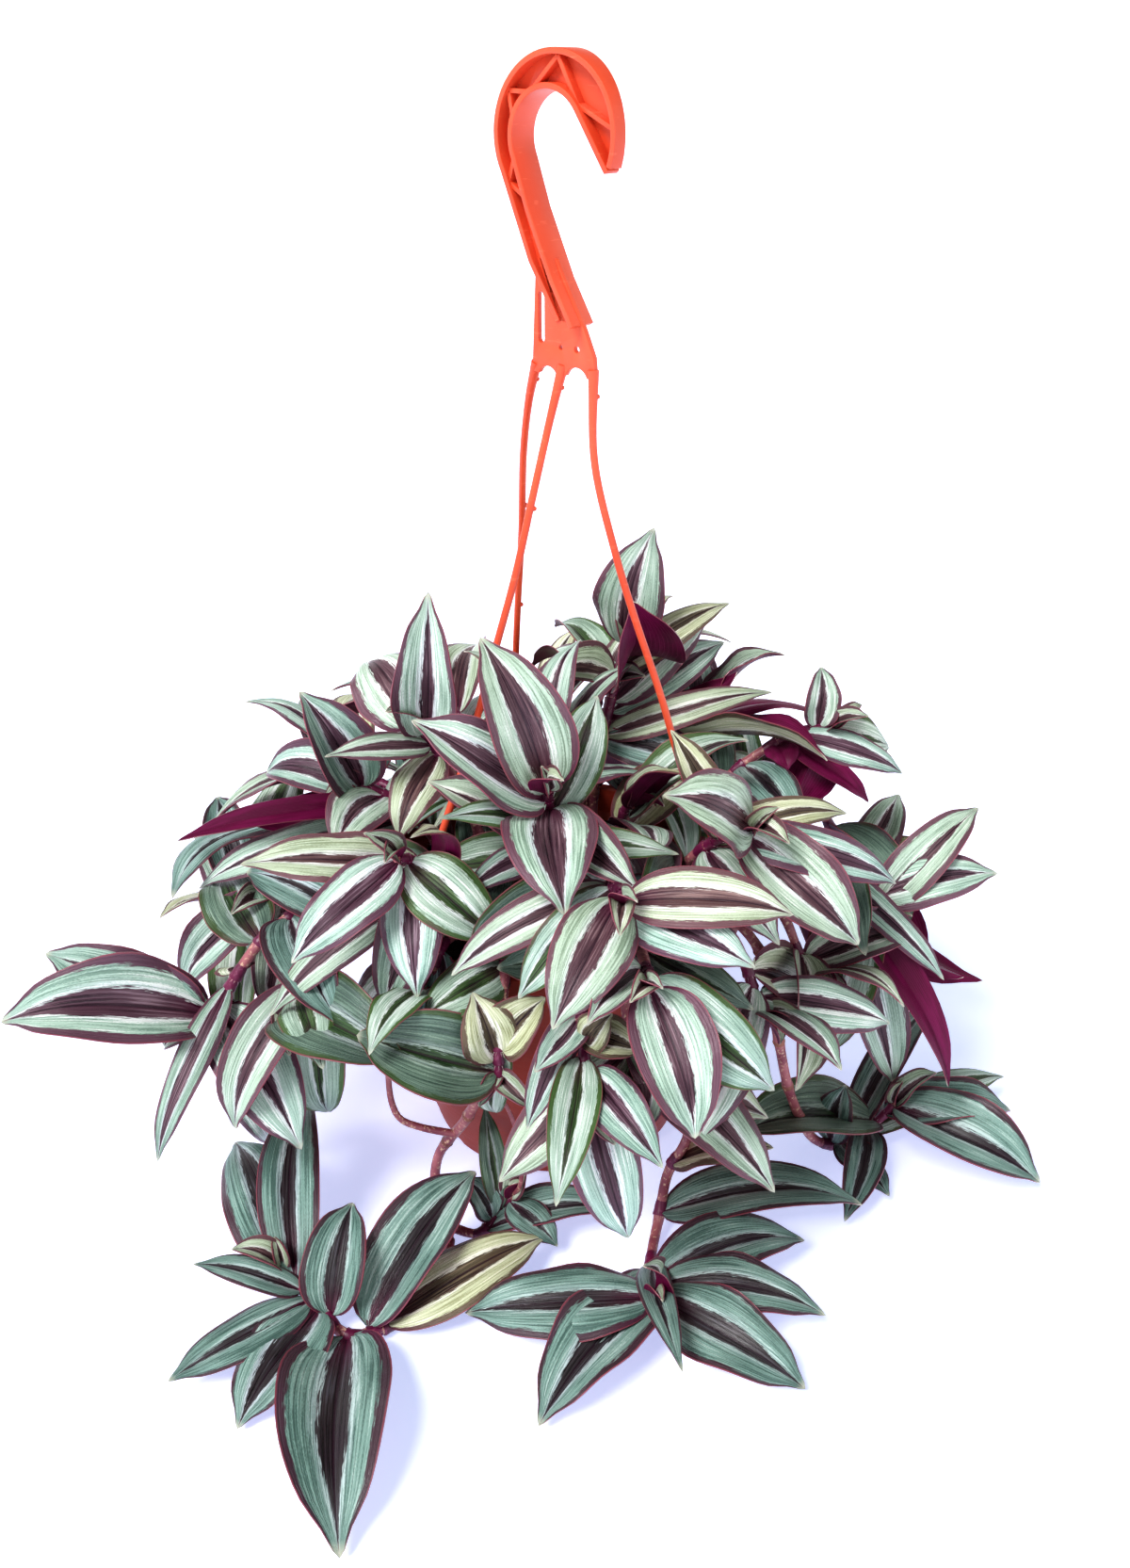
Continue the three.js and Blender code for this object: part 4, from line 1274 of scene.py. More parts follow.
@dataclass(frozen=True)
class PottingSoil:
    """Dark potting soil with paler bits, darker still in the low gaps between crumbs."""

    crumb_gaps: str = "1d130d"
    crumb: str = "3d2c20"
    bark: str = "6b5040"
    crumb_scale: float = 420.0
    crumb_edges: Span = (0.1, 0.6)
    fine_scale: float = 900.0
    fine_detail: float = 4.0
    bark_edges: Span = (0.62, 0.75)
    roughness: float = 0.9
    relief: float = 1.2

    def material(self) -> Material:
        """Builds the material.

        Returns:
            The material.
        """
        nodes = Shading("potting_soil")
        place = nodes.object_place()
        crumbs = nodes.node("TexVoronoi", place, Scale=self.crumb_scale).outputs["Distance"]
        fine = nodes.noise(place, self.fine_scale, self.fine_detail)
        # The colour goes darker from the middle of each crumb to the gaps between crumbs, where the relief is
        # low.
        colour = nodes.mix(nodes.ease(crumbs, *self.crumb_edges), self.crumb, self.crumb_gaps)
        colour = nodes.mix(nodes.ease(fine, *self.bark_edges), colour, self.bark)
        nodes.surface(base_color=colour, roughness=self.roughness)
        nodes.bump(nodes.scaled(crumbs, -1.0, fine), self.relief)
        return nodes.owner


STEM_SKIN = StemSkin("stem_skin", "a5646a", "7d3c4b", "d3b497", flecks=0.75)
NODE_SKIN = StemSkin("node_skin", "94604f", "6e3d3c", "d0ac8a", flecks=0.8, roughness=0.6)
SHEATH_SKIN = StemSkin("sheath_skin", "6b1843", "4b0f30", "a3607f", flecks=0.3, roughness=0.4)
CUT_SKIN = StemSkin("cut_skin", "d9c3a0", "b58f6c", "f0e2c6", roughness=0.7)
HAIR_SKIN = StemSkin("hair_skin", "e6d8d4", "cdb4b8", "f4ecea", roughness=0.6)
POT_PLASTIC = MouldedPlastic("pot_plastic", "983521", "872b1b", "a84a33", (0.46, 0.68), 0.12, ior=1.4)
HANGER_PLASTIC = MouldedPlastic("hanger_plastic", "dd5838", "cf4929", "ec7b58", (0.28, 0.5), 0.08)


# Mesh making, with the angles in degrees from which an edge is sharp, and how near points are one

SLAB_EDGE = 50.0
CREASE = 40.0
SOFT_CREASE = 60.0
LEAF_CREASE = 48.0
SEAM = 1e-4
SAME_LINE = 0.01


def made_of(made: dict, kind: type) -> list:
    """The faces, edges or vertices among what an operator made."""
    return [item for item in made["geom"] if isinstance(item, kind)]


def faces_round(verts: Sequence[BMVert]) -> list[BMFace]:
    """The faces that have any of the vertices."""
    return list({face for vert in verts for face in vert.link_faces})


def mark_creases(bm: BMesh, angle: float) -> None:
    """Shades a mesh smooth apart from its sharp edges.

    Args:
        bm: The mesh.
        angle: The angle in degrees from which an edge is sharp.
    """
    bm.normal_update()
    for face in bm.faces:
        face.smooth = True
    for edge in bm.edges:
        edge.smooth = edge.calc_face_angle(0.0) < math.radians(angle)


def in_scene(name: str, data: object) -> Object:
    """Makes an object in the scene from a mesh, a light or a camera."""
    made = bpy.data.objects.new(name, data)
    bpy.context.scene.collection.objects.link(made)
    return made


def piece_of(name: str, bm: BMesh, finishes: Sequence[Material]) -> Object:
    """Makes a piece of the plant or its pot from a finished mesh.

    Args:
        name: The piece's name.
        bm: Its mesh, in metres, which is freed.
        finishes: Its materials, in the order of the faces' material numbers.

    Returns:
        The object, which rides on the one body.
    """
    mesh = bpy.data.meshes.new(name)
    bm.to_mesh(mesh)
    bm.free()
    for finish in finishes:
        mesh.materials.append(finish)
    piece = in_scene(name, mesh)
    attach(piece, BODY)
    log.info("%s: %d faces", name, len(mesh.polygons))
    return piece


def ring_frames(points: Sequence[np.ndarray]) -> list[Matrix]:
    """Frames along a line of points that turn as little as they can.

    Args:
        points: The points, in metres.

    Returns:
        A frame at each point, whose Z axis runs along the line.
    """
    spots = [Vector(point) for point in points]
    last = len(spots) - 1
    ways = [(spots[min(i + 1, last)] - spots[max(i - 1, 0)]).normalized() for i in range(last + 1)]
    turn = Vector((0, 0, 1)).rotation_difference(ways[0])
    frames = []
    for i, (spot, way) in enumerate(zip(spots, ways)):
        if i:
            turn = ways[i - 1].rotation_difference(way) @ turn
        frames.append(Matrix.Translation(spot) @ turn.to_matrix().to_4x4())
    return frames


def sweep(
    bm: BMesh, points: Sequence[np.ndarray], radii: Sequence[float], sides: int, material: int = 0
) -> None:
    """Adds a closed round rod along a line of points.

    Args:
        bm: The mesh that it joins.
        points: The points, in metres.
        radii: The rod's radius at each point, in metres.
        sides: The sides of its section.
        material: The number of its material.
    """
    frames = ring_frames(points)
    start = bmesh.ops.create_circle(bm, cap_ends=True, segments=sides, radius=radii[0], matrix=frames[0])
    verts = list(start["verts"])
    ring = list({edge for vert in verts for edge in vert.link_edges})
    for i in range(1, len(frames)):
        grown = bmesh.ops.extrude_edge_only(bm, edges=ring)
        ring = made_of(grown, BMEdge)
        size = Matrix.Scale(radii[i] / radii[i - 1], 4)
        step = frames[i] @ size @ frames[i - 1].inverted()
        bmesh.ops.transform(bm, matrix=step, verts=made_of(grown, BMVert))
        verts += made_of(grown, BMVert)
    bmesh.ops.edgeloop_fill(bm, edges=ring)
    faces = faces_round(verts)
    bmesh.ops.recalc_face_normals(bm, faces=faces)
    for face in faces:
        face.material_index = material


def round_off(bm: BMesh, geometry: list, radius: float, affect: str) -> None:
    """Rounds edges or corners off.

    Args:
        bm: The mesh that they are in.
        geometry: The edges or the corners.
        radius: The radius that they get.
        affect: "EDGES" or "VERTICES".
    """
    bmesh.ops.bevel(
        bm, geom=geometry, offset=radius, segments=2, profile=0.5, affect=affect, material=-1,
        clamp_overlap=True,
    )


def slab(bm: BMesh, outlines: Sequence[Sequence[Point]], depth: float, bevel: float) -> list[BMVert]:
    """Adds a flat slab with rounded edges, upright in the XZ plane and centred on it.

    Args:
        bm: The mesh that it joins.
        outlines: Its outline, and then those of its holes, as points [across, height].
        depth: Its thickness.
        bevel: The radius of its edges.

    Returns:
        The slab's vertices.
    """
    own = bmesh.new()
    edges = []
    for outline in outlines:
        ring = [own.verts.new((x, -depth / 2, z)) for x, z in outline]
        edges += [own.edges.new((ring[i - 1], ring[i])) for i in range(len(ring))]
    bmesh.ops.triangle_fill(own, edges=edges, use_beauty=True, use_dissolve=True)
    grown = bmesh.ops.extrude_face_region(own, geom=list(own.faces))
    bmesh.ops.translate(own, verts=made_of(grown, BMVert), vec=(0, depth, 0))
    bmesh.ops.recalc_face_normals(own, faces=list(own.faces))
    own.normal_update()
    sharp = [edge for edge in own.edges if edge.calc_face_angle(0.0) > math.radians(SLAB_EDGE)]
    round_off(own, sharp, bevel, "EDGES")
    return add_copy(bm, own)


def add_copy(bm: BMesh, other: BMesh) -> list[BMVert]:
    """Joins a finished mesh to another, and frees it.

    Args:
        bm: The mesh that grows.
        other: The mesh that is added.

    Returns:
        The added vertices.
    """
    before = set(bm.verts)
    carrier = bpy.data.meshes.new("carrier")
    other.to_mesh(carrier)
    other.free()
    bm.from_mesh(carrier)
    bpy.data.meshes.remove(carrier)
    return [vert for vert in bm.verts if vert not in before]


def spun(profile: Sequence[Point], steps: int, corner: float) -> BMesh:
    """A turned shape about the Z axis with rounded corners.

    Args:
        profile: Points [radius, height] that start and end on the axis.
        steps: The steps of a full turn.
        corner: The radius of its corners.

    Returns:
        The mesh.
    """
    bm = bmesh.new()
    verts = [bm.verts.new((radius, 0, z)) for radius, z in profile]
    for first, second in zip(verts, verts[1:]):
        bm.edges.new((first, second))
    round_off(bm, verts[1:-1], corner, "VERTICES")
    line = [*bm.verts, *bm.edges]
    bmesh.ops.spin(
        bm, geom=line, cent=(0, 0, 0), axis=(0, 0, 1), angle=2 * math.pi, steps=steps, use_merge=True,
        use_duplicate=False,
    )
    bmesh.ops.remove_doubles(bm, verts=list(bm.verts), dist=SEAM)
    bmesh.ops.recalc_face_normals(bm, faces=list(bm.faces))
    return bm


def difference(whole: BMesh, tool: BMesh) -> BMesh:
    """Cuts a shape out of another, and frees them both.

    Args:
        whole: The shape that is cut.
        tool: The shape that is taken away.

    Returns:
        What is left.
    """
    pieces = []
    for shape in (whole, tool):
        mesh = bpy.data.meshes.new("shape")
        shape.to_mesh(mesh)
        shape.free()
        piece = in_scene("shape", mesh)
        pieces.append(piece)
    modifier = pieces[0].modifiers.new("difference", "BOOLEAN")
    modifier.operation = "DIFFERENCE"
    modifier.solver = "EXACT"
    modifier.object = pieces[1]
    left = bmesh.new()
    left.from_object(pieces[0], bpy.context.evaluated_depsgraph_get())
    for piece in pieces:
        mesh = piece.data
        bpy.data.objects.remove(piece)
        bpy.data.meshes.remove(mesh)
    return left


# The pot


@dataclass
class HangingPot:
    """The moulded pot: a tapered wall on a notched foot, a rim band, and three lugs for the hanger."""

    height: float = POT_HEIGHT
    foot_radius: float = 54.5
    taper: float = 0.2
    wall: float = 2.0
    floor: float = 5.0
    boss_radius: float = 32.0
    recess_radius: float = 47.0
    recess: float = 2.0
    ring_height: float = 10.0
    ring_step: float = 0.6
    bevel: float = 1.5
    rim_radius: float = 80.0
    rim_height: float = 15.0
    rim_thickness: float = 4.0
    rim_lip: float = 3.0
    rim_flare: float = 0.6
    edge: float = 1.0
    corner: float = 0.3
    drains: int = 6
    drain_radius: float = 4.0
    drain_at: float = 40.0
    drain_sides: int = 32
    notches: int = 6
    notch_width: float = 22.0
    notch_height: float = 2.0
    lug_at: float = 85.0
    lug_half_width: float = 7.0
    lug_thickness: float = 3.4
    lug_top: float = 116.4
    lug_hole: float = 2.7
    lug_overlap: float = 1.5
    lug_corner: float = 0.4
    lug_sides: int = 48
    lug_azimuths: tuple[float, ...] = (-15.0, 225.0, 105.0)
    steps: int = 144

    def wall_radius(self, z: float) -> float:
        """The wall's outer radius at a height."""
        return self.foot_radius + self.taper * z

    def build(self) -> Object:
        """Builds the pot.

        Returns:
            The pot, which replaces its solid.
        """
        body = self._body()
        self._notch_foot(body)
        bm = difference(body, self._drains())
        for azimuth in self.lug_azimuths:
            self._add_lug(bm, azimuth)
        mark_creases(bm, CREASE)
        bmesh.ops.scale(bm, vec=(MM, MM, MM), verts=list(bm.verts))
        pot = piece_of("moulded_pot", bm, [POT_PLASTIC.material()])
        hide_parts("pot")
        return pot

    def _body(self) -> BMesh:
        """The turned body.

        Returns:
            Its mesh, turned from the middle of its underside round to the middle of its inside.
        """
        under_rim = self.height - self.rim_height
        ring, step, bevel, edge = self.ring_height, self.ring_step, self.bevel, self.edge
        mouth = self.rim_radius - self.rim_thickness
        inner_foot = self.wall_radius(self.floor) - self.wall
        underside = [
            (0, 0), (self.boss_radius, 0), (self.boss_radius + bevel, self.recess),
            (self.recess_radius - bevel, self.recess), (self.recess_radius, 0), (self.foot_radius - edge, 0),
        ]
        outside = [
            (self.foot_radius, edge), (self.wall_radius(ring), ring),
            (self.wall_radius(ring) + step, ring + step), (self.wall_radius(under_rim) + step, under_rim),
            (self.rim_radius - self.rim_flare, under_rim + bevel), (self.rim_radius, self.height - bevel),
        ]
        rim = [
            (self.rim_radius - edge, self.height), (self.rim_radius - self.rim_lip, self.height),
            (mouth, self.height - bevel), (mouth, under_rim + self.wall),
        ]
        inside = [
            (self.wall_radius(under_rim) - self.wall, under_rim - edge), (inner_foot, self.floor + edge),
            (inner_foot - bevel, self.floor), (0, self.floor),
        ]
        return spun([*underside, *outside, *rim, *inside], self.steps, self.corner)

    def _notch_foot(self, bm: BMesh) -> None:
        """Lifts the foot ring where a notch lets water out from under it.

        Args:
            bm: The pot's mesh, in millimetres.
        """
        half = self.notch_width / 2 / self.foot_radius
        for vert in bm.verts:
            radius = math.hypot(vert.co.x, vert.co.y)
            share = math.atan2(vert.co.y, vert.co.x) * self.notches / (2 * math.pi) - 0.5
            off = abs(share - round(share)) * 2 * math.pi / self.notches
            if radius > self.recess_radius - self.edge / 2 and vert.co.z < self.notch_height and off < half:
                vert.co.z = self.notch_height

    def _add_lug(self, bm: BMesh, azimuth: float) -> None:
        """Adds one rounded tab with the hole for a catch.

        Args:
            bm: The pot's mesh, in millimetres.
            azimuth: The tab's direction.
        """
        root = self.rim_radius - self.lug_overlap - self.lug_at
        turns = [2 * math.pi * i / self.lug_sides for i in range(self.lug_sides)]
        tab = []
        for turn in turns:
            x, y = self.lug_half_width * math.cos(turn), self.lug_half_width * math.sin(turn)
            tab.append((root, y) if x < -SAME_LINE else (x, y))
        hole = [(self.lug_hole * math.cos(turn), self.lug_hole * math.sin(turn)) for turn in turns[::2]]
        verts = slab(bm, [tab, hole], self.lug_thickness, self.lug_corner)
        place = (
            Matrix.Rotation(math.radians(azimuth), 4, "Z")
            @ Matrix.Translation((self.lug_at, 0, self.lug_top - self.lug_thickness / 2))
            @ Matrix.Rotation(math.radians(-90), 4, "X")
        )
        bmesh.ops.transform(bm, matrix=place, verts=verts)

    def _drains(self) -> BMesh:
        """The rods that the drain holes are cut with.

        Returns:
            Their mesh.
        """
        bm = bmesh.new()
        radius = self.drain_radius
        for i in range(self.drains):
            turn = Matrix.Rotation(2 * math.pi * i / self.drains, 4, "Z")
            place = turn @ Matrix.Translation((self.drain_at, 0, self.floor / 2))
            bmesh.ops.create_cone(
                bm, cap_ends=True, segments=self.drain_sides, radius1=radius, radius2=radius,
                depth=3 * self.floor, matrix=place,
            )
        return bm


@dataclass
class SoilFill:
    """The potting soil: a mound with a crumbly top, and loose bits on it."""

    pot: HangingPot
    gap: float = 0.3
    mound: float = 3.0
    rings: int = 26
    steps: int = 120
    roughness: float = 0.9
    lumps: float = 0.35
    bits: int = 420
    bit_reach: float = 0.96
    bit_size: Span = (0.5, 1.5)
    bit_width: Span = (0.5, 1.0)
    bit_height: Span = (0.4, 0.8)
    bit_out: float = 0.3

    def build(self) -> Object:
        """Builds the soil.

        Returns:
            The soil, which replaces its solid.
        """
        bottom = self.pot.floor + self.gap
        foot = self.pot.wall_radius(bottom) - self.pot.wall - self.pot.bevel
        edge = self.pot.wall_radius(SOIL_TOP) - self.pot.wall - self.gap
        top = [(edge * (1 - i / self.rings), self._height(1 - i / self.rings)) for i in range(self.rings + 1)]
        bm = spun([(0, bottom), (foot, bottom), *top], self.steps, 0.0)
        for vert in bm.verts:
            if vert.co.z > SOIL_TOP + SAME_LINE:
                vert.co.z += self.roughness * noise.fractal(vert.co * self.lumps, 0.8, 2.0, 4)
        self._scatter_bits(bm, edge)
        mark_creases(bm, SOFT_CREASE)
        bmesh.ops.scale(bm, vec=(MM, MM, MM), verts=list(bm.verts))
        soil = piece_of("potting_soil", bm, [PottingSoil().material()])
        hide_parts("soil")
        return soil

    def _height(self, share: float) -> float:
        """The height of the mound at a share of its radius."""
        return SOIL_TOP + self.mound * (1 - share * share)

    def _scatter_bits(self, bm: BMesh, edge: float) -> None:
        """Adds loose crumbs and bits of bark on the mound.

        Args:
            bm: The soil's mesh, in millimetres.
            edge: The mound's radius.
        """
        draw = random.Random(SEED)
        for _ in range(self.bits):
            share, turn = math.sqrt(draw.random()) * self.bit_reach, draw.uniform(0, 2 * math.pi)
            size = draw.uniform(*self.bit_size)
            x, y = edge * share * math.cos(turn), edge * share * math.sin(turn)
            spot = (x, y, self._height(share) + self.bit_out * size)
            width, height = draw.uniform(*self.bit_width), draw.uniform(*self.bit_height)
            shape = Matrix.Diagonal((size, size * width, size * height, 1))
            place = Matrix.Translation(spot) @ Matrix.Rotation(turn * 3, 4, "Z") @ shape
            bmesh.ops.create_icosphere(bm, subdivisions=1, radius=1.0, matrix=place)


# The hanger


@dataclass
class Hanger:
    """The moulded hanger: a ribbed hook, a plate below it, and three thin strands with catches."""

    turn: float = -38.0
    outer_centre: Point = (4.5, 398.8)
    outer_radius: float = 24.0
    outer_sweep: Point = (-22.0, 208.0)
    inner_centre: Point = (1.5, 398.0)
    inner_radius: float = 15.0
    inner_sweep: Point = (35.0, 205.0)
    tip: Point = (26.0, 388.5)
    outer_foot: tuple[Point, ...] = ((-6.8, 360.0), (3.2, 341.0))
    inner_foot: tuple[Point, ...] = ((-6.6, 376.3), (3.7, 354.3), (12.2, 340.0))
    depth: float = 12.0
    rib_depth: float = 9.0
    flange: float = 1.9
    flange_corner: float = 0.35
    rib: float = 1.5
    rib_corner: float = 0.25
    web: float = 2.2
    web_corner: float = 0.2
    outer_steps: int = 46
    inner_steps: int = 30
    shallow_between: Point = (374.0, 344.0)
    shallow_by: float = 0.68
    taper_from: float = 378.0
    taper_line: tuple[Point, Point] = ((2.0, 6.2), (31.0, -0.6))
    ribs: tuple[tuple[Point, ...], ...] = (
        ((27.2, 401.0), (13.5, 407.5), (5.5, 421.5), (-6.0, 411.0), (-15.0, 411.5), (-13.0, 402.0)),
        ((-13.0, 392.0), (-15.5, 384.0), (-7.5, 379.0)),
    )
    plate_left: tuple[Point, ...] = ((-6.8, 361.0), (-8.6, 327.0), (-9.1, 323.0))
    plate_right: tuple[Point, ...] = ((19.0, 323.0), (18.3, 330.0), (14.2, 339.0), (8.0, 350.0), (2.0, 361.0))
    arches: tuple[Point, ...] = ((-1.9, 321.2, 4.1), (10.7, 321.2, 4.9))
    arch_sweep: Point = (160.0, 20.0)
    plate_thickness: float = 2.2
    plate_corner: float = 0.3
    slot: Point = (-5.9, 333.0, -3.2, 350.0)
    pin_holes: tuple[Point, ...] = ((4.0, 332.2), (11.0, 332.2))
    pin_radii: tuple[float, ...] = (0.8, 1.1)
    strand_radius: float = 1.4
    strand_steps: int = 60
    strand_sides: int = 14
    root_swell: float = 0.6
    root_share: float = 0.125
    strands: tuple[tuple[Point, ...], ...] = (
        (
            (13.8, -10.8, 326), (14.4, -12.5, 295), (22, -14.5, 263), (29, -15.6, 240), (40, -17, 208),
            (53, -19, 167), (70, -21, 134),
        ),
        (
            (3.3, -2.6, 326), (-1, -4, 309), (-8.5, -12, 278), (-14, -18, 255), (-21, -25, 231),
            (-34, -37, 187), (-51, -52, 140),
        ),
        (
            (-6, 5, 326), (-9, 10, 312), (-11.6, 19, 290), (-13, 30, 258), (-15.5, 41.6, 222),
            (-17.4, 53, 190), (-20, 70, 145),
        ),
    )
    nub_heights: tuple[tuple[float, ...], ...] = ((317.0,), (319.0, 278.0), (320.0, 268.0, 222.0))
    nub: tuple[Point, ...] = ((0.0, 1.1), (1.6, 0.9), (2.3, 0.5))
    nub_sides: int = 10
    catch_bottom: float = 106.0
    catch_top: float = 121.0
    catch_tip: float = 1.8
    catch_barb: float = 3.7
    catch_neck: float = 2.2
    catch_collar: float = 4.2
    catch_collar_height: float = 2.0
    catch_corner: float = 0.25
    catch_steps: int = 24
    gap: float = 0.3

    def build(self, pot: HangingPot) -> Object:
        """Builds the hanger.

        Args:
            pot: The pot whose lugs it goes through.

        Returns:
            The hanger, which replaces its solid.
        """
        bm = self._hook()
        verts = list(bm.verts)
        bmesh.ops.transform(bm, matrix=Matrix.Rotation(math.radians(self.turn), 4, "Z"), verts=verts)
        for route, azimuth, nubs in zip(self.strands, pot.lug_azimuths, self.nub_heights):
            self._add_strand(bm, route, azimuth, nubs, pot)
        mark_creases(bm, CREASE)
        bmesh.ops.scale(bm, vec=(MM, MM, MM), verts=list(bm.verts))
        hanger = piece_of("moulded_hanger", bm, [HANGER_PLASTIC.material()])
        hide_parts("hanger")
        return hanger

    def _hook(self) -> BMesh:
        """The hook and the plate, in their own upright plane.

        Returns:
            Their mesh, in millimetres.
        """
        bm = bmesh.new()
        outer_arc = arc(self.outer_centre, self.outer_radius, self.outer_sweep, self.outer_steps)
        inner_arc = arc(self.inner_centre, self.inner_radius, self.inner_sweep, self.inner_steps)
        outer, inner = [*outer_arc, *self.outer_foot], [self.tip, *inner_arc, *self.inner_foot]
        slab(bm, [[*outer, *reversed(inner)]], self.web, self.web_corner)
        slab(bm, [strip(inner, self.flange)], self.depth, self.flange_corner)
        self._flatten_foot(slab(bm, [strip(outer, self.flange)], self.depth, self.flange_corner))
        for row in self.ribs:
            for start, end in zip(row, row[1:]):
                slab(bm, [strip([start, end], self.rib)], self.rib_depth, self.rib_corner)
        left, low, right, high = self.slot
        radius, middle = (right - left) / 2, (left + right) / 2
        upper = arc((middle, high - radius), radius, (0, 180), 10)
        lower = arc((middle, low + radius), radius, (180, 360), 10)
        pins = [arc(centre, size, (0, 337.5), 15) for centre, size in zip(self.pin_holes, self.pin_radii)]
        arches = [point for x, z, size in self.arches for point in arc((x, z), size, self.arch_sweep, 16)]
        plate = [*self.plate_left, *arches, *self.plate_right]
        slab(bm, [plate, [*upper, *lower], *pins], self.plate_thickness, self.plate_corner)
        (start, wide), (end, narrow) = self.taper_line
        for vert in bm.verts:
            if vert.co.z > self.taper_from and vert.co.x > start:
                limit = wide + (narrow - wide) * (vert.co.x - start) / (end - start)
                vert.co.y = min(vert.co.y, limit)
        return bm

    def _flatten_foot(self, verts: Sequence[BMVert]) -> None:
        """Makes a flange shallower from a height down, until it runs out on the plate.

        Args:
            verts: The flange's vertices.
        """
        top, bottom = self.shallow_between
        for vert in verts:
            share = max(0.0, min(1.0, (top - vert.co.z) / (top - bottom)))
            vert.co.y *= 1 - self.shallow_by * share

    def _add_strand(
        self, bm: BMesh, route: Sequence[Point], azimuth: float, nubs: Sequence[float], pot: HangingPot
    ) -> None:
        """Adds one strand with its nubs, and its catch through the lug's hole.

        Args:
            bm: The hanger's mesh, in millimetres.
            route: The strand's points from the plate down.
            azimuth: The direction of its lug.
            nubs: The heights of its nubs.
            pot: The pot whose lug it goes through.
        """
        foot = direction(azimuth, 0) * pot.lug_at
        course = Course([*route, (foot[0], foot[1], self.catch_top - 1)])
        shares = [i / self.strand_steps for i in range(self.strand_steps + 1)]
        swells = [self.root_swell * max(0.0, 1 - share / self.root_share) ** 2 for share in shares]
        points = [course.at(share) for share in shares]
        sweep(bm, points, [self.strand_radius + swell for swell in swells], self.strand_sides)
        for height in nubs:
            share = min((i / 400 for i in range(401)), key=lambda s: abs(course.at(s)[2] - height))
            spot, way = course.at(share), course.heading(share)
            out = unit(np.cross(way, np.array([0.0, 1.0, 0.0])))
            rings = [spot + out * reach for reach, _ in self.nub]
            sweep(bm, rings, [radius for _, radius in self.nub], self.nub_sides)
        collar = pot.lug_top + self.gap
        barb = pot.lug_top - pot.lug_thickness - self.gap
        profile = [
            (0, self.catch_bottom), (self.catch_tip, self.catch_bottom), (self.catch_barb, barb),
            (self.catch_neck, barb), (self.catch_neck, collar), (self.catch_collar, collar),
            (self.catch_collar, collar + self.catch_collar_height), (self.strand_radius, self.catch_top),
            (0, self.catch_top),
        ]
        catch = spun(profile, self.catch_steps, self.catch_corner)
        bmesh.ops.translate(catch, verts=list(catch.verts), vec=(foot[0], foot[1], 0))
        add_copy(bm, catch)


def arc(centre: Point, radius: float, sweep_angles: Point, count: int) -> list[Point]:
    """Points along an arc.

    Args:
        centre: Its centre.
        radius: Its radius.
        sweep_angles: The angles that it starts and ends at, in degrees.
        count: How many steps it has.

    Returns:
        The points.
    """
    start, end = sweep_angles
    angles = [math.radians(start + (end - start) * i / count) for i in range(count + 1)]
    return [(centre[0] + radius * math.cos(a), centre[1] + radius * math.sin(a)) for a in angles]


def strip(points: Sequence[Point], width: float) -> list[Point]:
    """The outline of a strip of even width along points.

    Args:
        points: The points of its middle line.
        width: Its width.

    Returns:
        The outline.
    """
    line = [np.array(point) for point in points]
    left, right = [], []
    for i, point in enumerate(line):
        into = point - line[i - 1] if i else line[1] - line[0]
        out = line[i + 1] - point if i + 1 < len(line) else into
        along = unit(unit(into) + unit(out))
        step = 0.5 * width / max(0.5, float(np.dot(along, unit(out))))
        across = np.array([-along[1], along[0]]) * step
        left.append(tuple(point + across))
        right.append(tuple(point - across))
    return [*left, *reversed(right)]


# The leafy stems


class Skin(Enum):
    """The number of each material on a leafy stem."""

    FACE = 0
    UNDERSIDE = 1
    STEM = 2
    NODE = 3
    SHEATH = 4
    HAIR = 5
    CUT = 6


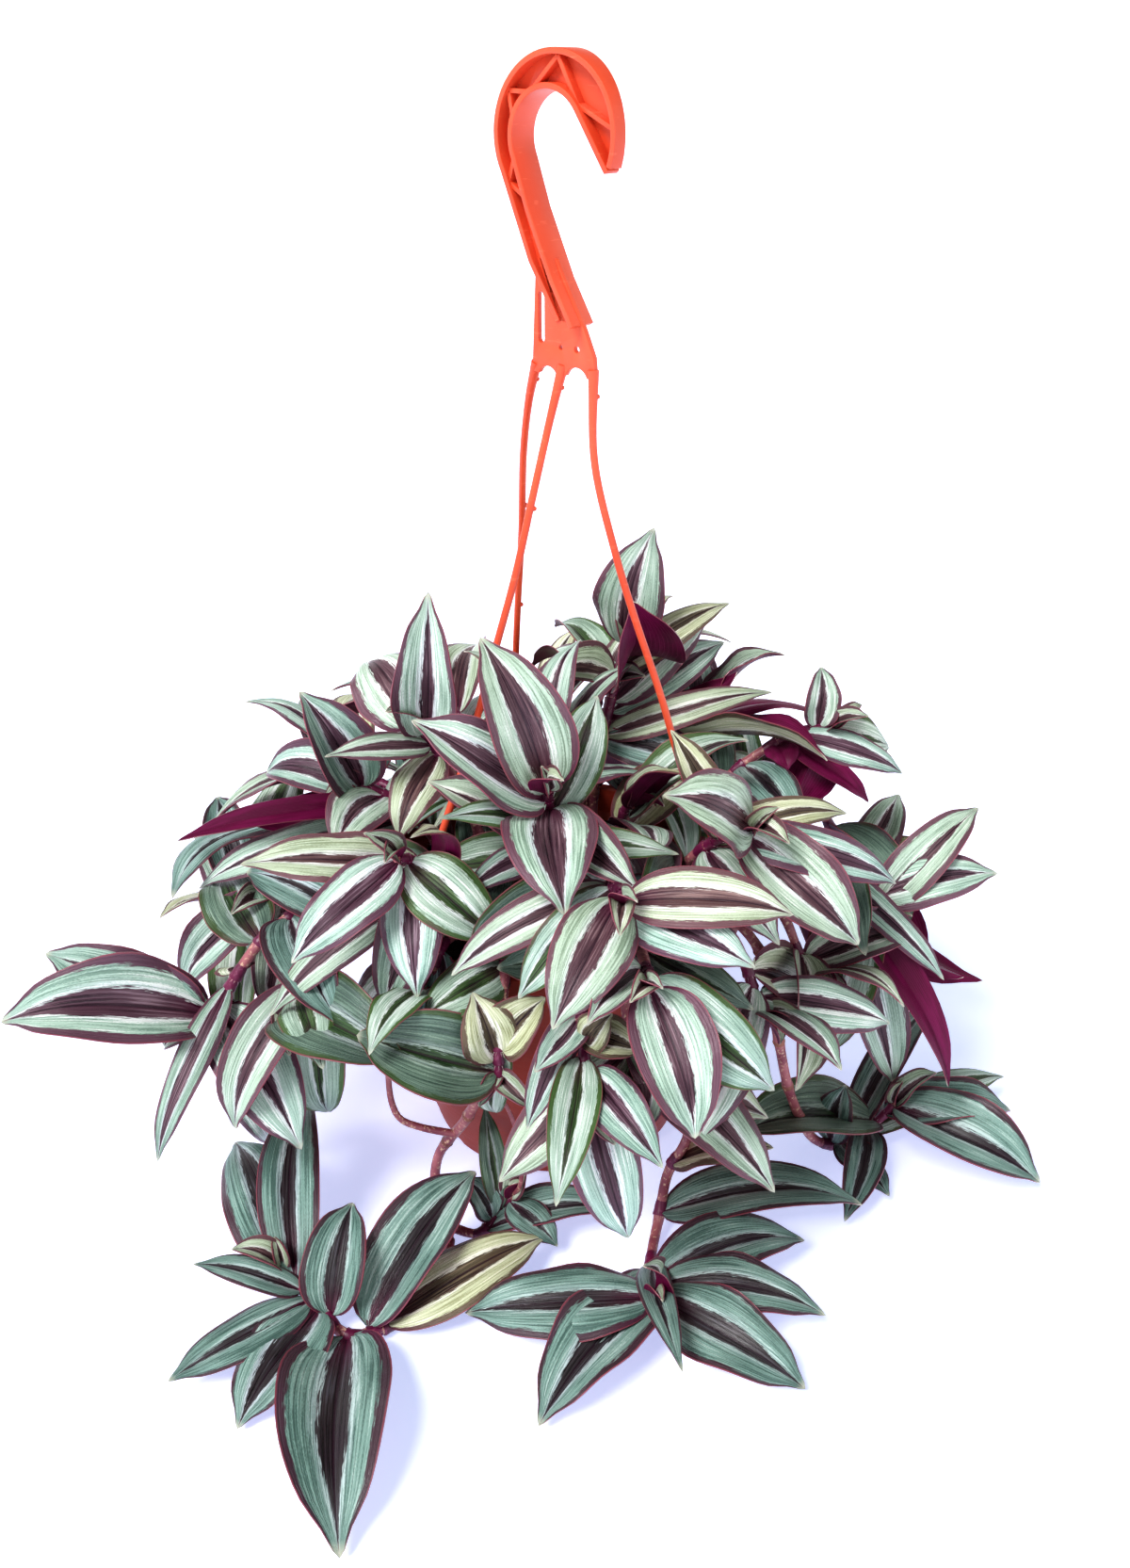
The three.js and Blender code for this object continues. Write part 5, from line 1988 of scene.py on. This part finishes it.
@dataclass(frozen=True)
class LeafForm:
    """How a leaf's blade bends. Lengths are shares of its length, and depths of its half-width."""

    # The outline is BELLY * share ** BASE_POWER * (1 - share) ** TIP_POWER, drawn in a little near the tip
    BELLY, BASE_POWER, TIP_POWER = 2.36, 0.5, 0.78
    PINCH, PINCH_AT, PINCH_LENGTH = 0.3, 0.94, 0.07
    ROOT_LENGTH = 0.06
    TWIST_FROM, DROOP_FROM = 0.3, 0.65
    SIDE_PHASE = 1.7
    DIMPLE_ALONG, DIMPLE_SLANT, DIMPLE_ACROSS = 9.0, 5.0, 4.0

    fullness: float = 1.15
    arch: float = 0.095
    late: float = 0.35
    keel: float = 0.15
    puff: float = 0.06
    cup: float = 0.35
    wave: float = 0.07
    waves: float = 1.8
    phase: float = 0.0
    bend: float = 0.0
    twist: float = 0.0
    droop: float = 0.0
    dimple: float = 0.05
    root_half_width: float = 0.9
    lift: float = 0.4
    thickness: float = 0.45
    lowest: float = 0.6

    @classmethod
    def drawn(cls, draw: random.Random, calm: bool) -> "LeafForm":
        """A form that differs from leaf to leaf.

        Args:
            draw: Where the numbers come from.
            calm: Whether the leaf lies flat, as on the surface.

        Returns:
            The form.
        """
        return cls(
            arch=draw.uniform(0.08, 0.11 if calm else 0.15),
            late=draw.uniform(0.1, 0.6),
            keel=draw.uniform(0.2, 0.42),
            puff=draw.uniform(0.04, 0.1),
            cup=draw.choice((-1, -1, 1)) * draw.uniform(0.2, 0.7),
            wave=draw.uniform(0.03, 0.12),
            waves=draw.uniform(1.2, 2.6),
            phase=draw.uniform(0, 2 * math.pi),
            bend=draw.uniform(-0.05, 0.05),
            twist=draw.uniform(-18, 18),
            droop=draw.uniform(0.0, 0.01 if calm else 0.06),
        )

    def half_width(self, share: np.ndarray, width: float) -> np.ndarray:
        """The half-width along the leaf: round near the base, with a drawn-out point.

        Args:
            share: The shares of the length.
            width: The leaf's width.

        Returns:
            The half-width at each share.
        """
        shape = self.BELLY * share**self.BASE_POWER * np.maximum(1 - share, 0) ** self.TIP_POWER
        slim = 1 - self.PINCH * np.exp(-(((share - self.PINCH_AT) / self.PINCH_LENGTH) ** 2))
        root = self.root_half_width * np.maximum(0.0, 1 - share / self.ROOT_LENGTH)
        return np.maximum(root, self.fullness * width / 2 * shape * slim)

    def surface(self, blade: Blade, u: np.ndarray, share: np.ndarray) -> np.ndarray:
        """The upper face.

        Args:
            blade: The leaf's place and size.
            u: How far across each point is, from -1 to 1, as a column.
            share: How far along each point is, from 0 to 1, as a column.

        Returns:
            The points, in millimetres.
        """
        chord = blade.tip - blade.base
        length = float(np.linalg.norm(chord))
        along = chord / length
        normal = unit(blade.light - along * np.dot(blade.light, along))
        normal = turned(normal, along, blade.roll)
        side = np.cross(along, normal)
        hump = 4 * share * (1 - share)
        skew = 1 + self.late * (2 * share - 1)
        slope = 4 * self.arch * ((1 - 2 * share) * skew + 2 * self.late * share * (1 - share))
        up = normal - slope * along
        up /= np.linalg.norm(up, axis=1, keepdims=True)
        lean = np.radians(self.twist * (share - self.TWIST_FROM))
        across = side * np.cos(lean) + up * np.sin(lean)
        rise = up * np.cos(lean) - side * np.sin(lean)
        half = self.half_width(share, blade.width)
        reach = np.abs(u)
        out = half * np.sin(self.cup * reach) / self.cup * np.sign(u)
        swell = self.keel * reach + self.puff * np.sin(np.pi * reach)
        phase = 2 * np.pi * self.waves * share + self.phase + self.SIDE_PHASE * np.sign(u)
        ripple = self.wave * reach**3 * np.sin(phase)
        dimples = self.dimple * reach * np.sin(self.DIMPLE_ALONG * share + self.DIMPLE_SLANT * u + self.phase)
        dimples = dimples * np.sin(self.DIMPLE_ACROSS * u + 2 * self.phase)
        height = half * ((1 - np.cos(self.cup * reach)) / self.cup + swell + ripple + dimples) + self.lift
        past = np.maximum(0.0, share - self.DROOP_FROM) / (1 - self.DROOP_FROM)
        raised = self.arch * hump * skew - self.droop * past**2
        spine = blade.base + chord * share
        spine = spine + normal * (raised * length)
        spine = spine + side * (self.bend * length * hump)
        points = spine + across * out + rise * height
        points[:, 2] = np.maximum(points[:, 2], self.lowest)
        return points


@dataclass
class LeafyStem:
    """One leafy stem: smooth stems with nodes, sheaths with hairs, and leaves that follow their solids."""

    name: str
    shoots: list[Shoot]
    across: int = 12
    along: int = 22
    evenness: float = 0.45
    seam: float = 0.001
    sides: int = 10
    stem_radius: float = 2.05
    head_radius: float = 1.3
    head_length: float = 30.0
    node_swell: float = 0.4
    node_length: float = 2.6
    node_spacing: float = 24.0
    node_spread: Span = (0.85, 1.15)
    node_ring: tuple[Span, ...] = ((-1.6, 0.15), (-0.6, 0.55), (0.5, 0.5), (1.3, 0.2))
    ring_step: float = 3.0
    sheath_past: float = 1.2
    sheath_sides: int = 12
    sheath: tuple[Span, ...] = ((-6.5, 0.1), (-4.55, 0.45), (-2.0, 0.55), (-0.4, 0.85), (0.0, 0.7))
    hairs: int = 9
    hair_turn: float = 12.0
    hair_lean: Span = (0.5, 1.0)
    hair_length: Span = (1.2, 2.4)
    hair_radii: Span = (0.07, 0.01)
    hair_lowest: float = 1.0
    cut_ring: tuple[Span, ...] = ((-1.4, 0.05), (-0.7, 0.45), (0.1, 0.4), (0.35, 0.0))
    bud_length: Span = (17.0, 24.0)
    bud_shorter: float = 0.35
    bud_folds: Span = (0.55, 1.1)
    bud_widths: Span = (0.5, 0.46)
    bud_leans: Span = (0.8, -0.5)
    bud_lift: float = 0.8
    bud_form: LeafForm = LeafForm(
        fullness=1.0, arch=0.16, puff=0.1, cup=0.5, wave=0.08, bend=0.05, twist=20, lift=0.0, thickness=0.35,
    )
    draw: random.Random = field(init=False)

    def __post_init__(self) -> None:
        """Starts the stem's own row of numbers."""
        self.draw = random.Random(self.name)

    def build(self, skins: Sequence[Material], corners: kdtree.KDTree) -> int:
        """Builds the stem, which replaces its solid.

        Args:
            skins: The materials, in the order of Skin.
            corners: The corners of the stem's solid, in metres.

        Returns:
            How many leaves it has.
        """
        bm = bmesh.new()
        bm.loops.layers.uv.new("leaf")
        bm.verts.layers.float_color.new("look")
        count = 0
        for shoot in self.shoots:
            blades = [blade.settled(corners) for blade in shoot.blades()]
            present = [blade for blade in blades if blade]
            self._add_stem(bm, shoot.course, [blade.share for blade in present])
            for blade in present:
                self._add_leaf(bm, blade, LeafForm.drawn(self.draw, shoot.light is FLAT))
                self._add_sheath(bm, shoot.course, blade.share)
            self._add_bud(bm, shoot)
            for twig in shoot.twigs:
                self._add_twig(bm, twig)
            count += len(present)
        mark_creases(bm, LEAF_CREASE)
        stem = piece_of(self.name + "_grown", bm, skins)
        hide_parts(self.name)
        return count

    def _add_leaf(self, bm: BMesh, blade: Blade, form: LeafForm) -> None:
        """Adds a leaf: a grid laid on its upper face, given its thickness.

        Args:
            bm: The stem's mesh.
            blade: The leaf's place, size and look.
            form: How it bends.
        """
        uv, look = bm.loops.layers.uv["leaf"], bm.verts.layers.float_color["look"]
        size = {"x_segments": self.across, "y_segments": self.along, "size": 1.0}
        verts = bmesh.ops.create_grid(bm, calc_uvs=True, **size)["verts"]
        flat = np.array([(vert.co.x, vert.co.y) for vert in verts])
        even = (flat[:, 1:] + 1) / 2
        closer = 0.5 - 0.5 * np.cos(np.pi * even)
        share = np.clip(self.evenness * even + (1 - self.evenness) * closer, 0, 1)
        points = form.surface(blade, flat[:, :1], share) * MM
        colouring = (*blade.look.value, self.draw.random())
        for vert, point in zip(verts, points):
            vert.co = point
            vert[look] = colouring
        bmesh.ops.remove_doubles(bm, verts=verts, dist=self.seam * MM)
        faces = faces_round([vert for vert in verts if vert.is_valid])
        for face in faces:
            face.normal_update()
        grown = bmesh.ops.solidify(bm, geom=faces, thickness=form.thickness * MM)
        under = faces if blade.over else made_of(grown, BMFace)
        for face in under:
            face.material_index = Skin.UNDERSIDE.value

    def _add_stem(self, bm: BMesh, course: Course, roots: Sequence[float]) -> None:
        """Adds the stem's rod, thicker at its nodes, and a dry ring at each older node.

        Args:
            bm: The stem's mesh.
            course: The stem's course.
            roots: Where the leaves are, as shares of its length.
        """
        length = course.length
        nodes = [share * length for share in roots]
        lowest = min(nodes, default=length)
        older = []
        while lowest > self.node_spacing + STEM_DEPTH:
            lowest -= self.node_spacing * self.draw.uniform(*self.node_spread)
            older.append(lowest)
        count = max(4, math.ceil(length / self.ring_step))
        points, radii = [], []
        for i in range(count + 1):
            at = length * i / count
            near = (((at - node) / self.node_length) ** 2 for node in [*nodes, *older])
            swell = max((math.exp(-distance) for distance in near), default=0.0)
            below_head = min(1.0, (length - at) / self.head_length)
            points.append(course.at(i / count) * MM)
            radii.append((self._radius(below_head) + self.node_swell * swell * (0.4 + 0.6 * below_head)) * MM)
        sweep(bm, points, radii, self.sides, Skin.STEM.value)
        for node in older:
            ring = [course.at((node + offset) / length) * MM for offset, _ in self.node_ring]
            sizes = [(self.stem_radius + extra) * MM for _, extra in self.node_ring]
            sweep(bm, ring, sizes, self.sides, Skin.NODE.value)

    def _radius(self, below_head: float) -> float:
        """The stem's radius, from 0 at its head to 1 where it is full-grown."""
        return self.head_radius + (self.stem_radius - self.head_radius) * below_head

    def _add_sheath(self, bm: BMesh, course: Course, share: float) -> None:
        """Adds the sheath that holds a leaf to its stem, and the hairs round its mouth.

        Args:
            bm: The stem's mesh.
            course: The stem's course.
            share: Where the leaf is, as a share of the course's length.
        """
        length = course.length
        mouth = min(length, share * length + self.sheath_past)
        base = self._radius(min(1.0, (length - mouth) / self.head_length))
        points = [course.at(max(0.0, mouth + back) / length) * MM for back, _ in self.sheath]
        sizes = [(base + extra) * MM for _, extra in self.sheath]
        sweep(bm, points, sizes, self.sheath_sides, Skin.SHEATH.value)
        spot, way = course.at(mouth / length), course.heading(mouth / length)
        first = unit(np.cross(way, np.array([0.3, 0.5, 0.81])))
        for i in range(self.hairs):
            turn = 360 * i / self.hairs + self.draw.uniform(-self.hair_turn, self.hair_turn)
            self._add_hair(bm, spot, turned(first, way, turn), way, base)

    def _add_hair(
        self, bm: BMesh, spot: np.ndarray, out: np.ndarray, way: np.ndarray, radius: float
    ) -> None:
        """Adds one hair, unless it would go into the surface that the plant stands on.

        Args:
            bm: The stem's mesh.
            spot: The middle of the sheath's mouth.
            out: The direction in which the hair stands off the stem.
            way: The stem's direction.
            radius: The stem's radius.
        """
        lean = unit(out * self.draw.uniform(*self.hair_lean) + way)
        root = spot + out * (radius + 0.5)
        tip = root + lean * self.draw.uniform(*self.hair_length)
        if tip[2] < self.hair_lowest:
            return
        turn = Vector((0, 0, 1)).rotation_difference(Vector(lean)).to_matrix().to_4x4()
        wide, narrow = self.hair_radii
        hair = bmesh.ops.create_cone(
            bm, cap_ends=True, segments=3, radius1=wide * MM, radius2=narrow * MM,
            depth=float(np.linalg.norm(tip - root)) * MM,
            matrix=Matrix.Translation((root + tip) / 2 * MM) @ turn,
        )
        for face in faces_round(hair["verts"]):
            face.material_index = Skin.HAIR.value

    def _add_twig(self, bm: BMesh, twig: Twig) -> None:
        """Adds a bare side stem, with a dry ring round its end if it was cut.

        Args:
            bm: The stem's mesh.
            twig: Its route and sizes.
        """
        course = Course(twig.route)
        count = max(4, math.ceil(course.length / self.ring_step))
        points = [course.at(i / count) * MM for i in range(count + 1)]
        step = (twig.end_radius - twig.start_radius) / count
        radii = [(twig.start_radius + step * i) * MM for i in range(count + 1)]
        sweep(bm, points, radii, self.sides, Skin.STEM.value)
        if twig.cut:
            end, way = course.at(1), course.heading(1)
            ring = [(end + way * back) * MM for back, _ in self.cut_ring]
            sizes = [(twig.end_radius + extra) * MM for _, extra in self.cut_ring]
            sweep(bm, ring, sizes, self.sheath_sides, Skin.CUT.value)

    def _add_bud(self, bm: BMesh, shoot: Shoot) -> None:
        """Adds the two youngest leaves, still rolled up, at the head of a shoot.

        Args:
            bm: The stem's mesh.
            shoot: The shoot.
        """
        head, way = shoot.course.at(1), shoot.course.heading(1)
        light = direction(shoot.light.azimuth, shoot.light.elevation)
        first = turned(unit(np.cross(way, light)), way, self.draw.uniform(0, 360))
        for i, (fold, slim, lean) in enumerate(zip(self.bud_folds, self.bud_widths, self.bud_leans)):
            size = self.draw.uniform(*self.bud_length) * (1 - self.bud_shorter * i)
            out = unit(way + self.bud_lift * light + first * lean)
            base = head - way * (1.5 - i)
            blade = Blade(base, base + out * size, size * slim, 0.0, unit(light - out * 0.3), BLUSH, 1.0)
            self._add_leaf(bm, blade, replace(self.bud_form, keel=fold))


def build_plant() -> None:
    """Builds every leafy stem around its solid, with the materials in the order of Skin."""
    finishes = (LeafFace(), LeafUnderside(), STEM_SKIN, NODE_SKIN, SHEATH_SKIN, HAIR_SKIN, CUT_SKIN)
    skins = [finish.material() for finish in finishes]
    total = 0
    for name, shoots in Planting().shoots().items():
        total += LeafyStem(name, shoots).build(skins, corners_of(name))
    log.info("leaves: %d", total)


def corners_of(node: str) -> kdtree.KDTree:
    """The corners of a solid.

    Args:
        node: The solid's name.

    Returns:
        A tree of its corners, in metres.
    """
    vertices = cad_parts[node].data.vertices
    tree = kdtree.KDTree(len(vertices))
    for i, vertex in enumerate(vertices):
        tree.insert(vertex.co, i)
    tree.balance()
    return tree


# The studio


@dataclass(frozen=True)
class Sun:
    """A wide light from far away: its name, where it comes from, how bright and how many degrees wide."""

    name: str
    place: Point
    strength: float
    angle: float


@dataclass
class Studio:
    """A pale floor, one wide main light, a soft sky that is white near the horizon, and the camera."""

    eye: Point = (0.004, -0.490, 0.417)
    pitch: float = 62.3
    view_height: float = 60.0
    sensor: float = 36.0
    near: float = 0.01
    floor_half_size: float = 30.0
    floor_drop: float = 0.1
    floor_roughness: float = 0.9
    floor_colour: str = "f6f5fc"
    floor_glow: str = "c0d4ff"
    floor_glow_strength: float = 0.6
    main: Sun = Sun("main_light", (-0.5, -0.45, 0.85), 3.3, 26.0)
    fill: Sun = Sun("fill_light", (0.7, -0.6, 0.45), 0.25, 60.0)
    sky: float = 0.16
    horizon: float = 1.15
    sky_edges: Span = (0.26, 0.6)

    def build(self) -> None:
        """Sets the studio up."""
        self._add_camera()
        self._add_floor()
        self._add_sun(self.main)
        self._add_sun(self.fill)
        self._light_sky()
        view = bpy.context.scene.view_settings
        view.view_transform = "Standard"
        view.look = "Medium High Contrast"

    def _add_camera(self) -> None:
        """Adds the camera, at the photograph's view."""
        data = bpy.data.cameras.new("camera")
        data.sensor_fit = "VERTICAL"
        data.sensor_height = self.sensor
        data.lens = self.sensor / 2 / math.tan(math.radians(self.view_height / 2))
        data.clip_start = self.near
        camera = in_scene("camera", data)
        camera.location = self.eye
        camera.rotation_euler = (math.radians(self.pitch), 0, 0)
        bpy.context.scene.camera = camera

    def _add_floor(self) -> None:
        """Adds the pale floor, just under the pot's foot, with a faint glow that keeps shadows light."""
        bm = bmesh.new()
        bmesh.ops.create_grid(bm, x_segments=1, y_segments=1, size=self.floor_half_size)
        bmesh.ops.translate(bm, verts=list(bm.verts), vec=(0, 0, -self.floor_drop * MM))
        mesh = bpy.data.meshes.new("floor")
        bm.to_mesh(mesh)
        bm.free()
        nodes = Shading("floor_paint")
        nodes.surface(
            base_color=self.floor_colour, roughness=self.floor_roughness,
            emission_color=self.floor_glow, emission_strength=self.floor_glow_strength,
        )
        mesh.materials.append(nodes.owner)
        floor = in_scene("floor", mesh)

    def _add_sun(self, sun: Sun) -> None:
        """Adds a light.

        Args:
            sun: The light.
        """
        data = bpy.data.lights.new(sun.name, "SUN")
        data.energy = sun.strength
        data.angle = math.radians(sun.angle)
        lamp = in_scene(sun.name, data)
        lamp.rotation_euler = (-Vector(sun.place)).to_track_quat("-Z", "Y").to_euler()

    def _light_sky(self) -> None:
        """Lights the sky: white from the horizon down, and softer above."""
        sky = Shading("sky", "worlds", "Background")
        way = sky.node("SeparateXYZ", sky.node("TexCoord").outputs["Generated"])
        height = sky.node(
            "MapRange", way.outputs[2], *self.sky_edges, self.horizon, self.sky,
            interpolation_type="SMOOTHSTEP",
        )
        sky.surface(color="ffffff", strength=height.outputs[0])
        bpy.context.scene.world = sky.owner


def write_sizes() -> None:
    """Brings the places of all the objects up to date."""
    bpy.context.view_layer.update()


def main() -> None:
    """Builds the pot, its soil, its hanger, the plant and the studio."""
    logging.basicConfig(level=logging.INFO, format="%(name)s: %(message)s")
    pot = HangingPot()
    pot.build()
    SoilFill(pot).build()
    Hanger().build(pot)
    build_plant()
    Studio().build()
    write_sizes()


if __name__ == "__main__":
    main()
